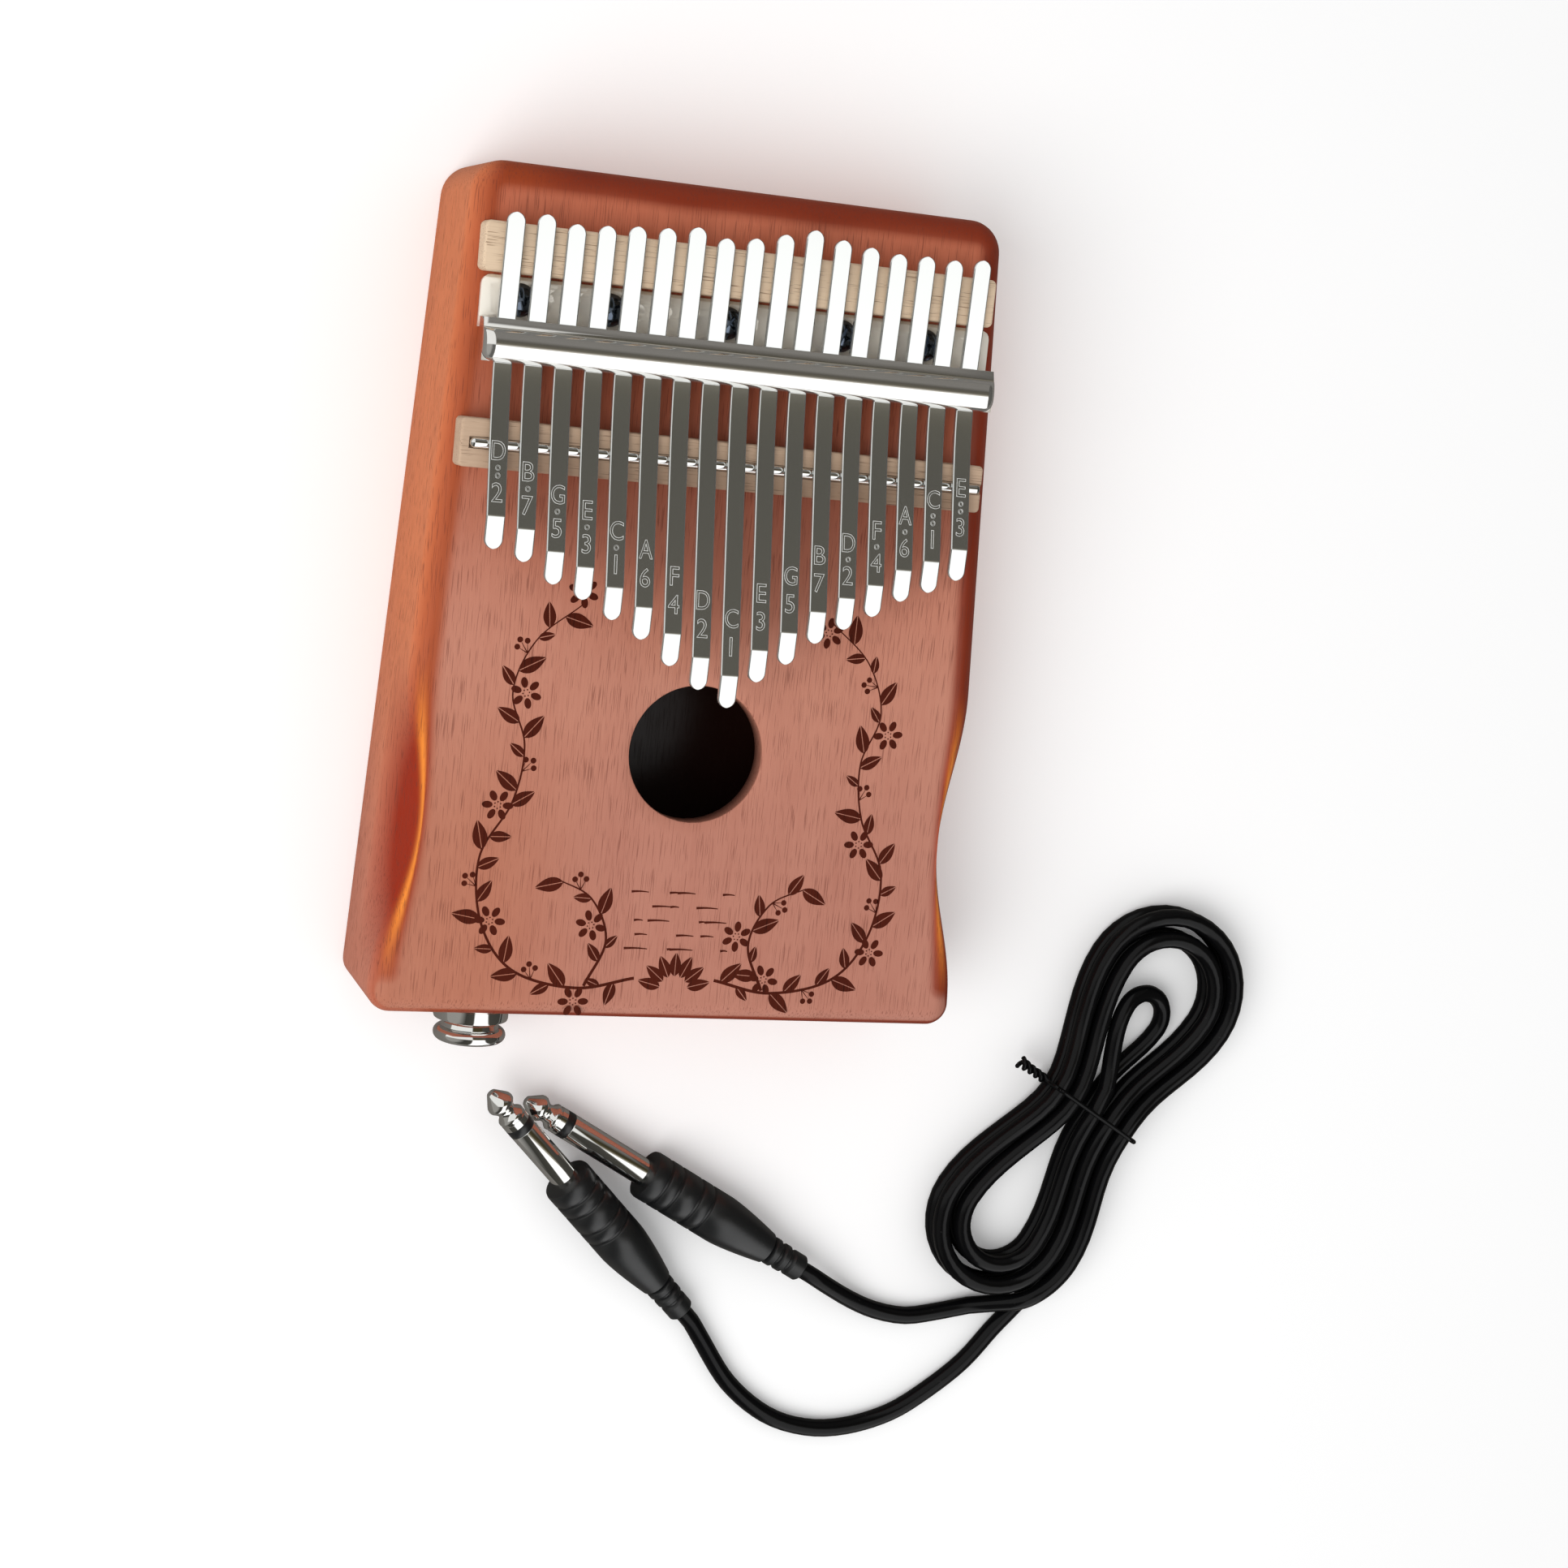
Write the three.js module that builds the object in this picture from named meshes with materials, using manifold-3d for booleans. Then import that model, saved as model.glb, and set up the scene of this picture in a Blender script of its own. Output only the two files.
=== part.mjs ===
// Thumb piano (mbira) with seventeen steel tines on a hollow wooden box,
// an end-pin jack in its front wall, and an instrument lead tied in a hank beside it.
// Millimetres. The instrument lies on its back: +X right, +Y towards the rear bridge,
// +Z out of the face. The origin is the middle of the back face.

import * as THREE from 'three';
import { mergeVertices } from 'three/addons/utils/BufferGeometryUtils.js';
import Module from 'manifold-3d';

const wasm = await Module();
wasm.setup();

// Driving dimensions

// The box is as wide as its row of tines asks for, and flares towards the front.
const body = {
  length: 177,
  tineMargin: 7.4,
  flare: 16.2,
  height: 35,
  rearCornerRadius: 7,
  frontCornerRadius: 5,
  faceEdgeRadius: 4.5,
  backEdgeRadius: 1.5,
  faceThickness: 5,
  sideWall: 9,
  endWall: 12,
  cavityCornerRadius: 9,
};

// Setbacks of the hand rests and the sound hole are from the front wall.
const handRest = {
  depth: 6.3,
  floorHeight: 15.5,
  frontSetback: 6.5,
  deepestSetback: 39.5,
  rearSetback: 75.5,
  riseExponent: 1.2,
};

const soundHole = { radius: 14.7, setback: 58.6 };

const backPanel = { thickness: 3, lip: 4, clearance: 0.3 };

// Setbacks of the block, the bridges, the bracket, its screws, the tines' ends and the
// pickup are from the rear wall. Overhangs are from the middles of the outer tines.
const bridgeBlock = { setback: 21.5, width: 26, height: 15, sideClearance: 0.3, cornerRadius: 3 };

const rearBridge = {
  setback: 12.5,
  width: 10,
  height: 5.1,
  leftOverhang: 5.7,
  rightOverhang: 4.4,
  cornerRadius: 2.4,
  edgeRadius: 1,
};

const frontBridge = {
  setback: 51.8,
  width: 10,
  height: 6,
  leftOverhang: 7.4,
  rightOverhang: 5.7,
  cornerRadius: 2.2,
  edgeRadius: 0.9,
};

const rod = { radius: 1.1, leftInset: 1.9, rightInset: 0.5, endRounding: 0.35, grooveClearance: 0.3 };

const tine = {
  pitch: 6.3,
  width: 3.9,
  thickness: 1,
  edgeRounding: 0.25,
  undersideRounding: 0.12,
  seatGap: 0.3,
  pressGap: 0.75,
  bendReach: 0.6,
};

// Rises of a tine's top for each millimetre along it.
const tineRise = { rearShare: 0.055, frontShare: 0.22, tipShare: -0.065 };

// The tines from left to right. The lowest note is the middle one, and is the longest.
const rearTipSetbacks = [
  10.5, 10.3, 11.5, 11.1, 10.5, 10.1, 9.2, 10.7, 10.0, 8.5, 6.9, 8.2, 9.0, 9.6, 9.4, 9.5, 8.8,
];
const frontTipSetbacks = [
  77.6, 79.7, 83.7, 86.3, 89.9, 93.4, 98.3, 102.7, 106.0,
  100.4, 96.4, 91.7, 88.4, 85.3, 81.7, 79.4, 76.4,
];
const bentTipLength = 6.7;

// Lengths run along the instrument, from the flange's rear edge forwards.
const bracket = {
  setback: 23,
  sheet: 1.5,
  flangeLength: 8.6,
  riserThickness: 2.1,
  beadWidth: 6.6,
  beadUnderside: 6.3,
  beadRise: 3.4,
  lip: 0.68,
  leftOverhang: 4.8,
  rightOverhang: 5.4,
  cornerRadius: 2,
  windowClearance: 0.5,
  beadEndRadius: 2.4,
};

const screw = {
  setback: 27.6,
  headRadius: 3.4,
  headHeight: 2,
  rimHeight: 0.5,
  shaftRadius: 1.5,
  length: 14,
  holeClearance: 0.3,
  tipLength: 2.5,
};

// A screw stands in the gap to the right of each of these tines, counted from the left.
const screwAfterTine = [1, 4, 8, 12, 15];

const jack = {
  sideSetback: 26.1,
  boreRadius: 3.3,
  barrelRadius: 5.95,
  holeClearance: 0.35,
  barrelLength: 25,
  collarRadius: 8.15,
  collarLength: 4.3,
  collarEdge: 0.6,
  capRadius: 7.9,
  capLength: 4.6,
  capNeckRadius: 6.3,
  capNeckLength: 1.4,
  runningGap: 0.3,
  nutAcrossCorners: 16.2,
  nutLength: 2.6,
  washerRadius: 8.6,
  washerLength: 0.8,
};

const jackContact = {
  insulatorLength: 3.2,
  insulatorRadius: 5.6,
  stripWidth: 2.4,
  stripThickness: 0.4,
  stripReach: 15,
  stripHeight: 4.4,
  kinkReach: 9,
  kinkDrop: 1.7,
  footClearance: 0.5,
  tagLength: 4,
};

const piezo = {
  x: -14,
  setback: 80.5,
  plateRadius: 13.5,
  plateThickness: 0.5,
  discRadius: 9.8,
  discThickness: 0.4,
};

const pickupWire = {
  radius: 0.9,
  clearance: 0.5,
  tagReach: 1.8,
  floorHeight: 3.6,
  dropLeft: 18.9,
  dropForward: 6.75,
  turnForward: 27,
};

const cable = { radius: 2.1, gap: 0.3 };

// Both plugs are quarter-inch mono plugs. Lengths run from the tip back along the axis.
const plug = {
  shaftRadius: 3.175,
  tipLength: 10,
  tipNoseRadius: 1.1,
  tipNoseEnd: 0.4,
  tipConeRadius: 2.54,
  tipConeEnd: 2.2,
  tipBulgeEnd: 4,
  tipNeckRadius: 2.2,
  tipNeckStart: 5.5,
  tipNeckEnd: 6.6,
  tipShoulder: 8,
  insulatorLength: 1.6,
  gripRadius: 5.85,
  gripEdge: 0.7,
  gripStraight: 22,
  gripLength: 36,
  gripEndRadius: 3.8,
  gripTaperExponent: 1.4,
  grooveDepth: 0.5,
  grooveWidth: 0.9,
  reliefLength: 9.8,
  reliefStartRadius: 3.45,
  reliefEndRadius: 3.1,
  reliefGrooveDepth: 0.6,
  joint: 0.3,
};
const gripGrooves = [4.1, 7.5, 13, 16.5];
const reliefGrooves = [2.6, 5.6];

const plugA = { exposed: 29, endX: 19.6, endY: -165, endZ: 3.2, heading: -46.05, tilt: 6.5 };
const plugB = { exposed: 34, endX: 47, endY: -154.2, endZ: 5.9, heading: -29.7, tilt: 0 };

// Where the free stretches of the lead lie on the table, from each plug to the hank.
const routeA = [
  [25.2, -172.0, 2.35],
  [33.3, -183.4, 2.1],
  [43.5, -191.5, 2.1],
  [53.9, -195.0, 2.1],
  [64.2, -195.0, 2.1],
  [75.2, -191.9, 2.1],
  [84.2, -186.4, 2.1],
  [92.9, -179.3, 2.1],
];
const routeB = [
  [54.4, -158.7, 4.9],
  [61.5, -162.9, 3.1],
  [68.6, -166.0, 2.2],
  [76.6, -167.5, 2.1],
];

const hank = {
  centreX: 115,
  centreY: -114,
  axisAngle: 59,
  lobeReach: 33.5,
  lobeRadius: 20.9,
  lobePitch: 5.4,
  waistHalfWidth: 12.5,
  waistPitch: 4.95,
  layerPitch: 4.9,
  petalReach: 25.5,
  petalRadius: 6.4,
  petalOffset: 0.5,
  exitHold: 12,
  exitDrop: 17,
  entryX: 102.4,
  entryY: -168.1,
  exitX: 88.4,
  exitY: -165.9,
  straightEnd: 4.4,
};
const hankSteps = { perQuarter: 6, sides: 6, petalLeg: 3, petalArc: 8, exitArc: 4, exitArcDegrees: 47 };

// Shares of the straight lines by which the cable enters and leaves the hank.
const entryShare = 0.6;
const exitShare = 0.34;

// How the innermost turn spreads from the waist, and how late it is back at the waist.
const petalSpread = { exponent: 1.25, returnShare: 1.1, climbShare: 1.5 };

const tie = {
  radius: 0.55,
  clearance: 0.4,
  cornerRadius: 3,
  tailLength: 9,
  tailSpread: 1.6,
  liftReach: 9.6,
};

// Turns of the spiral at which its outer runs cross the waist, on the right and on the left.
const waistTurnShares = { right: 0.125, left: 0.625 };

// Counts of facets
const segments = {
  corner: 5, edge: 5, side: 13, back: 2, wall: 5, hole: 32, turned: 16, jack: 24, screw: 12,
  dome: 4, bead: 14, beadEnd: 8, flare: 6, taper: 4, lead: 10, wire: 8, wireRun: 22, tie: 6,
};
const hexagonSides = 6;

// How far a cutter runs past the face that it opens.
const overrun = 2;

const halfLength = body.length / 2;
const faceZ = body.height;
const faceUnderside = body.height - body.faceThickness;
const tineCount = frontTipSetbacks.length;
const tineSpan = (tineCount - 1) * tine.pitch;
const rearWidth = tineSpan + 2 * body.tineMargin;
const frontWidth = rearWidth + body.flare;
const wallSlope = body.flare / 2 / body.length;
const wallAngle = Math.atan(wallSlope);
const handRestFrontY = handRest.frontSetback - halfLength;
const handRestDeepestY = handRest.deepestSetback - halfLength;
const handRestRearY = handRest.rearSetback - halfLength;
const soundHoleY = soundHole.setback - halfLength;
const blockRearY = halfLength - bridgeBlock.setback;
const rearBridgeY = halfLength - rearBridge.setback - rearBridge.width;
const frontBridgeY = halfLength - frontBridge.setback - frontBridge.width;
const flangeRearY = halfLength - bracket.setback;
const riserRearY = flangeRearY - bracket.flangeLength;
const beadRearY = riserRearY - bracket.riserThickness;
const beadFrontY = beadRearY - bracket.beadWidth;
const screwY = halfLength - screw.setback;
const piezoY = halfLength - piezo.setback;
const jackX = jack.sideSetback - frontWidth / 2;
const jackZ = body.height / 2;
const quarter = Math.PI / 2;
const degree = Math.PI / 180;
const up = new THREE.Vector3(0, 0, 1);

const finishes = {
  mahogany: { color: 0xb0705c, roughness: 0.5, metalness: 0 },
  beech: { color: 0xe3cdb4, roughness: 0.7, metalness: 0 },
  pine: { color: 0xc9a57c, roughness: 0.8, metalness: 0 },
  chrome: { color: 0xd7d9dc, roughness: 0.12, metalness: 1 },
  spring_steel: { color: 0xc4c6c4, roughness: 0.16, metalness: 1 },
  brass: { color: 0xc9a558, roughness: 0.35, metalness: 1 },
  ceramic: { color: 0xe9e4d8, roughness: 0.6, metalness: 0 },
  black_plastic: { color: 0x151517, roughness: 0.45, metalness: 0 },
  black_rubber: { color: 0x101012, roughness: 0.35, metalness: 0 },
};

// Geometry helpers

function signedVolume(positions, faces) {
  const a = new THREE.Vector3();
  const b = new THREE.Vector3();
  const c = new THREE.Vector3();
  let total = 0;
  for (let i = 0; i < faces.length; i += 3) {
    a.fromArray(positions, faces[i] * 3);
    b.fromArray(positions, faces[i + 1] * 3);
    c.fromArray(positions, faces[i + 2] * 3);
    total += a.dot(b.cross(c));
  }
  return total;
}

function closedSurface(positions, faces) {
  if (signedVolume(positions, faces) < 0) faces.reverse();
  const geometry = new THREE.BufferGeometry();
  geometry.setAttribute('position', new THREE.Float32BufferAttribute(positions, 3));
  geometry.setIndex(faces);
  geometry.computeVertexNormals();
  return geometry;
}

// Joins rings of equal point counts into one closed skin. The two end rings are flat.
function loft(rings) {
  const count = rings[0].length;
  const positions = rings.flat().flatMap((point) => point.toArray());
  const faces = [];
  for (let ring = 0; ring + 1 < rings.length; ring++) {
    for (let i = 0; i < count; i++) {
      const a = ring * count + i;
      const b = ring * count + ((i + 1) % count);
      faces.push(a, b, b + count, a, b + count, a + count);
    }
  }
  const lastRing = (rings.length - 1) * count;
  for (const [start, flip] of [[0, true], [lastRing, false]]) {
    const ring = rings[start / count];
    for (const [a, b, c] of flatCap(ring)) {
      const face = flip ? [c, b, a] : [a, b, c];
      faces.push(...face.map((index) => index + start));
    }
  }
  return closedSurface(positions, faces);
}

// Triangles over a flat ring, in the ring's own order.
function flatCap(ring) {
  const normal = new THREE.Vector3();
  ring.forEach((point, i) => {
    const next = ring[(i + 1) % ring.length];
    normal.add(new THREE.Vector3().crossVectors(point, next));
  });
  const turn = new THREE.Quaternion().setFromUnitVectors(normal.normalize(), up);
  const flat = ring.map((point) => {
    const turned = point.clone().applyQuaternion(turn);
    return new THREE.Vector2(turned.x, turned.y);
  });
  return THREE.ShapeUtils.triangulateShape(flat, []);
}

function toSolid(geometry) {
  const bare = geometry.clone();
  bare.deleteAttribute('normal');
  bare.deleteAttribute('uv');
  const merged = mergeVertices(bare);
  return new wasm.Manifold(new wasm.Mesh({
    numProp: 3,
    vertProperties: new Float32Array(merged.attributes.position.array),
    triVerts: new Uint32Array(merged.index.array),
  }));
}

function toGeometry(solid) {
  const mesh = solid.getMesh();
  const geometry = new THREE.BufferGeometry();
  geometry.setAttribute('position', new THREE.BufferAttribute(mesh.vertProperties, 3));
  geometry.setIndex(new THREE.BufferAttribute(mesh.triVerts, 1));
  geometry.computeVertexNormals();
  return geometry;
}

function cut(geometry, tools) {
  let solid = toSolid(geometry);
  for (const tool of tools) solid = solid.subtract(toSolid(tool));
  return toGeometry(solid);
}

function box(lowX, highX, lowY, highY, lowZ, highZ) {
  const geometry = new THREE.BoxGeometry(highX - lowX, highY - lowY, highZ - lowZ);
  return geometry.translate((lowX + highX) / 2, (lowY + highY) / 2, (lowZ + highZ) / 2);
}

// A cylinder that stands on lowZ.
function post(radius, x, y, lowZ, highZ, sides) {
  const geometry = new THREE.CylinderGeometry(radius, radius, highZ - lowZ, sides);
  return geometry.rotateX(quarter).translate(x, y, (lowZ + highZ) / 2);
}

// A turned piece about +Y from [radius, distance] pairs that close on themselves or on the axis.
function turned(profile, sides = segments.turned) {
  const points = profile.map(([radius, distance]) => new THREE.Vector2(radius, distance));
  const geometry = mergeVertices(stripped(new THREE.LatheGeometry(points, sides)));
  const faces = [];
  const index = geometry.index.array;
  for (let i = 0; i < index.length; i += 3) {
    const [a, b, c] = [index[i], index[i + 1], index[i + 2]];
    if (a !== b && b !== c && c !== a) faces.push(a, b, c);
  }
  return closedSurface([...geometry.attributes.position.array], faces);
}

function stripped(geometry) {
  geometry.deleteAttribute('normal');
  geometry.deleteAttribute('uv');
  return geometry;
}

// A closed profile of a turned ring from its outer outline and its bore.
function ringProfile(outer, boreRadius) {
  const first = outer[0];
  const last = outer[outer.length - 1];
  return [[boreRadius, first[1]], ...outer, [boreRadius, last[1]], [boreRadius, first[1]]];
}

function part(name, geometry, finish) {
  const material = new THREE.MeshStandardMaterial(finishes[finish]);
  const mesh = new THREE.Mesh(geometry, material);
  mesh.name = name;
  return mesh;
}

function smoothStep(value) {
  const t = Math.min(Math.max(value, 0), 1);
  return t * t * (3 - 2 * t);
}

// Body

// Half of the body's width at a distance y along it.
function halfWidth(y) {
  return rearWidth / 2 + (halfLength - y) * wallSlope;
}

// How far the hand rest cuts into a side wall at a place on it.
function handRestDepth(y, z) {
  const endY = y > handRestDeepestY ? handRestRearY : handRestFrontY;
  const along = Math.min(Math.abs((y - handRestDeepestY) / (endY - handRestDeepestY)), 1);
  const rise = Math.max((z - handRest.floorHeight) / (body.height - handRest.floorHeight), 0);
  return handRest.depth * Math.cos(along * quarter) ** 2 * rise ** handRest.riseExponent;
}

// One corner of the body's plan as an arc, counted anticlockwise from the rear right.
function cornerArc(corner, inset, z) {
  const rear = corner < 2;
  const right = corner === 0 || corner === 3;
  const radius = rear ? body.rearCornerRadius : body.frontCornerRadius;
  const centreY = rear ? halfLength - radius : radius - halfLength;
  const centreX = halfWidth(centreY) - radius / Math.cos(wallAngle);
  const side = right ? 1 : -1;
  const starts = [wallAngle, quarter, Math.PI - wallAngle, 3 * quarter];
  const ends = [quarter, Math.PI - wallAngle, 3 * quarter, 4 * quarter + wallAngle];
  const points = [];
  for (let i = 0; i <= segments.corner; i++) {
    const angle = starts[corner] + ((ends[corner] - starts[corner]) * i) / segments.corner;
    const x = side * centreX + (radius - inset) * Math.cos(angle);
    const y = centreY + (radius - inset) * Math.sin(angle);
    points.push(new THREE.Vector3(x, y, z));
  }
  return points;
}

// The points of one side wall between its two corners, going down it from the rear.
function sideRun(side, inset, z) {
  const points = [];
  const startY = handRestRearY;
  const endY = handRestFrontY;
  for (let i = 0; i < segments.side; i++) {
    const y = startY + ((endY - startY) * i) / (segments.side - 1);
    const x = halfWidth(y) - inset / Math.cos(wallAngle) - handRestDepth(y, z);
    points.push(new THREE.Vector3(side * x, y, z));
  }
  return points;
}

function bodyRing(inset, z) {
  return [
    ...cornerArc(0, inset, z),
    ...cornerArc(1, inset, z),
    ...sideRun(-1, inset, z),
    ...cornerArc(2, inset, z),
    ...cornerArc(3, inset, z),
    ...sideRun(1, inset, z).reverse(),
  ];
}

function roundedBlank() {
  const rings = [];
  for (let i = 0; i <= segments.back; i++) {
    const angle = (quarter * i) / segments.back;
    const inset = body.backEdgeRadius * (1 - Math.sin(angle));
    rings.push(bodyRing(inset, body.backEdgeRadius * (1 - Math.cos(angle))));
  }
  const wallTop = body.height - body.faceEdgeRadius;
  for (let i = 0; i < segments.wall; i++) {
    const z = handRest.floorHeight + ((wallTop - handRest.floorHeight) * i) / segments.wall;
    rings.push(bodyRing(0, z));
  }
  for (let i = 0; i <= segments.edge; i++) {
    const angle = (quarter * i) / segments.edge;
    const inset = body.faceEdgeRadius * (1 - Math.cos(angle));
    rings.push(bodyRing(inset, wallTop + body.faceEdgeRadius * Math.sin(angle)));
  }
  return loft(rings);
}

// A straight-walled prism inside the body's plan, a wall's thickness in from each side.
function innerPrism(sideWall, endWall, cornerRadius, lowZ, highZ) {
  const outline = innerOutline(sideWall, -halfLength + endWall, halfLength - endWall, cornerRadius);
  return loft([lowZ, highZ].map((z) => levelRing(outline, z)));
}

function levelRing(outline, z) {
  return outline.map((point) => new THREE.Vector3(point.x, point.y, z));
}

function innerOutline(sideWall, frontY, rearY, cornerRadius) {
  const points = [];
  const reach = sideWall / Math.cos(wallAngle);
  const corners = [[1, rearY, 0], [-1, rearY, 1], [-1, frontY, 2], [1, frontY, 3]];
  for (const [side, y, turns] of corners) {
    const centreY = y - Math.sign(y - (frontY + rearY) / 2) * cornerRadius;
    const centreX = halfWidth(centreY) - reach - cornerRadius / Math.cos(wallAngle);
    for (let i = 0; i <= segments.corner; i++) {
      const angle = quarter * (turns + i / segments.corner);
      const x = side * centreX + cornerRadius * Math.cos(angle);
      points.push(new THREE.Vector2(x, centreY + cornerRadius * Math.sin(angle)));
    }
  }
  return points;
}

function bodyShell() {
  const ledge = backPanel.lip;
  const cavity = innerPrism(
    body.sideWall, body.endWall, body.cavityCornerRadius, -overrun, faceUnderside,
  );
  const rabbet = innerPrism(
    body.sideWall - ledge, body.endWall - ledge, body.cavityCornerRadius + ledge,
    -overrun, backPanel.thickness + backPanel.clearance,
  );
  const hole = post(
    soundHole.radius, 0, soundHoleY, faceUnderside - overrun, faceZ + overrun, segments.hole,
  );
  const screwHoles = screwPlaces().map((x) => post(
    screw.shaftRadius + screw.holeClearance, x, screwY,
    faceUnderside - overrun, faceZ + overrun, segments.screw,
  ));
  const jackHole = jackCylinder(
    jack.barrelRadius + jack.holeClearance, -halfLength - overrun, -halfLength + body.endWall + overrun,
  );
  return cut(roundedBlank(), [cavity, rabbet, hole, jackHole, ...screwHoles]);
}

function backCover() {
  const gap = backPanel.clearance;
  const ledge = backPanel.lip - gap;
  return innerPrism(
    body.sideWall - ledge, body.endWall - ledge, body.cavityCornerRadius + ledge,
    0, backPanel.thickness,
  );
}

// The block glued under the face, which takes the screws and the pull of the bracket.
function innerBlock() {
  const outline = innerOutline(
    body.sideWall + bridgeBlock.sideClearance, blockRearY - bridgeBlock.width, blockRearY,
    bridgeBlock.cornerRadius,
  );
  const lowZ = faceUnderside - bridgeBlock.height;
  const rings = [lowZ, faceUnderside].map((z) => levelRing(outline, z));
  const tipZ = faceZ + bracket.sheet - screw.length - screw.tipLength;
  const holes = screwPlaces().map((x) => post(
    screw.shaftRadius + screw.holeClearance, x, screwY, tipZ, faceZ, segments.screw,
  ));
  return cut(loft(rings), holes);
}

// Bridges and rod

// Where a bar across the face ends on the left and on the right.
function leftEnd(piece) {
  return -tineSpan / 2 - piece.leftOverhang;
}

function rightEnd(piece) {
  return tineSpan / 2 + piece.rightOverhang;
}

// A bar on the face with rounded corners and a rounded top edge.
function bridgeBar(bridge, frontY) {
  const topZ = faceZ + bridge.height;
  const round = bridge.edgeRadius;
  const levels = [[0, faceZ]];
  const steps = 3;
  for (let i = 0; i <= steps; i++) {
    const angle = (quarter * i) / steps;
    levels.push([round * (1 - Math.cos(angle)), topZ - round * (1 - Math.sin(angle))]);
  }
  const rings = levels.map(([inset, z]) => roundedRectangle(
    leftEnd(bridge) + inset, rightEnd(bridge) - inset, frontY + inset, frontY + bridge.width - inset,
    bridge.cornerRadius - inset, z,
  ));
  return loft(rings);
}

function roundedRectangle(lowX, highX, lowY, highY, radius, z) {
  const points = [];
  const centres = [
    [highX - radius, highY - radius],
    [lowX + radius, highY - radius],
    [lowX + radius, lowY + radius],
    [highX - radius, lowY + radius],
  ];
  centres.forEach(([x, y], turns) => {
    for (let i = 0; i <= segments.corner - 1; i++) {
      const angle = quarter * (turns + i / (segments.corner - 1));
      points.push(new THREE.Vector3(x + radius * Math.cos(angle), y + radius * Math.sin(angle), z));
    }
  });
  return points;
}

const rodY = frontBridgeY + frontBridge.width / 2;
const rodZ = faceZ + frontBridge.height;
const rodLeft = leftEnd(frontBridge) + rod.leftInset;
const rodRight = rightEnd(frontBridge) - rod.rightInset;

// A cylinder that lies along X.
function bar(radius, lowX, highX, y, z, sides) {
  const geometry = new THREE.CylinderGeometry(radius, radius, highX - lowX, sides);
  return geometry.rotateZ(quarter).translate((lowX + highX) / 2, y, z);
}

function groovedBridge() {
  const grooveRadius = rod.radius + rod.grooveClearance;
  const grooveLeft = rodLeft - rod.grooveClearance;
  const grooveRight = rightEnd(frontBridge) + overrun;
  const groove = bar(grooveRadius, grooveLeft, grooveRight, rodY, rodZ, segments.turned);
  return cut(bridgeBar(frontBridge, frontBridgeY), [groove]);
}

function bridgeRod() {
  const round = rod.endRounding;
  const length = rodRight - rodLeft;
  const profile = [
    [0, 0],
    [rod.radius - round, 0],
    [rod.radius, round],
    [rod.radius, length - round],
    [rod.radius - round, length],
    [0, length],
  ];
  return turned(profile).rotateZ(-quarter).translate(rodLeft, rodY, rodZ);
}

// Tines

const beadMiddleY = (beadFrontY + beadRearY) / 2;
const tineAtRearBridge = faceZ + rearBridge.height + tine.seatGap + tine.thickness;
const tineAtBead = faceZ + bracket.beadUnderside - tine.pressGap;
const tineAtRod = rodZ + rod.radius + tine.seatGap + tine.thickness * Math.hypot(1, tineRise.frontShare);

function tineX(index) {
  return index * tine.pitch - tineSpan / 2;
}

// Cubic between two heights with a given rise at each end.
function blend(startY, startZ, startRise, endY, endZ, endRise, y) {
  const span = endY - startY;
  const t = (y - startY) / span;
  const startWeight = 1 - 3 * t ** 2 + 2 * t ** 3;
  const leave = t - 2 * t ** 2 + t ** 3;
  const arrive = t ** 3 - t ** 2;
  return startZ * startWeight + endZ * (1 - startWeight) + span * (leave * startRise + arrive * endRise);
}

// Height of a tine's top. It bears on the rear bridge, is pressed down by the bracket's
// bead, rises over the rod, and levels off at its bent tip.
function tineTop(y, bendY) {
  if (y > rearBridgeY) return tineAtRearBridge + (y - rearBridgeY) * tineRise.rearShare;
  if (y > beadMiddleY) {
    return blend(beadMiddleY, tineAtBead, 0, rearBridgeY, tineAtRearBridge, tineRise.rearShare, y);
  }
  if (y > rodY) return blend(beadMiddleY, tineAtBead, 0, rodY, tineAtRod, -tineRise.frontShare, y);
  if (y > bendY) return tineAtRod + (rodY - y) * tineRise.frontShare;
  return tineAtRod + (rodY - bendY) * tineRise.frontShare + (bendY - y) * tineRise.tipShare;
}

// A tine's cross-section: flat, with eased edges, square to its path.
function tineSection(x, y, z, rise, halfWide) {
  const top = Math.min(tine.edgeRounding, halfWide / 2);
  const low = Math.min(tine.undersideRounding, halfWide / 2);
  const across = [
    [halfWide, -top], [halfWide - top, 0], [top - halfWide, 0], [-halfWide, -top],
    [-halfWide, low - tine.thickness], [low - halfWide, -tine.thickness],
    [halfWide - low, -tine.thickness], [halfWide, low - tine.thickness],
  ];
  const tilt = Math.atan(rise);
  return across.map(([side, depth]) => new THREE.Vector3(
    x + side, y - depth * Math.sin(tilt), z + depth * Math.cos(tilt),
  ));
}

// Half of a tine's width near one of its round ends.
function roundEnd(distance) {
  const radius = tine.width / 2;
  if (distance >= radius) return radius;
  return Math.sqrt(radius ** 2 - (radius - distance) ** 2);
}

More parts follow.
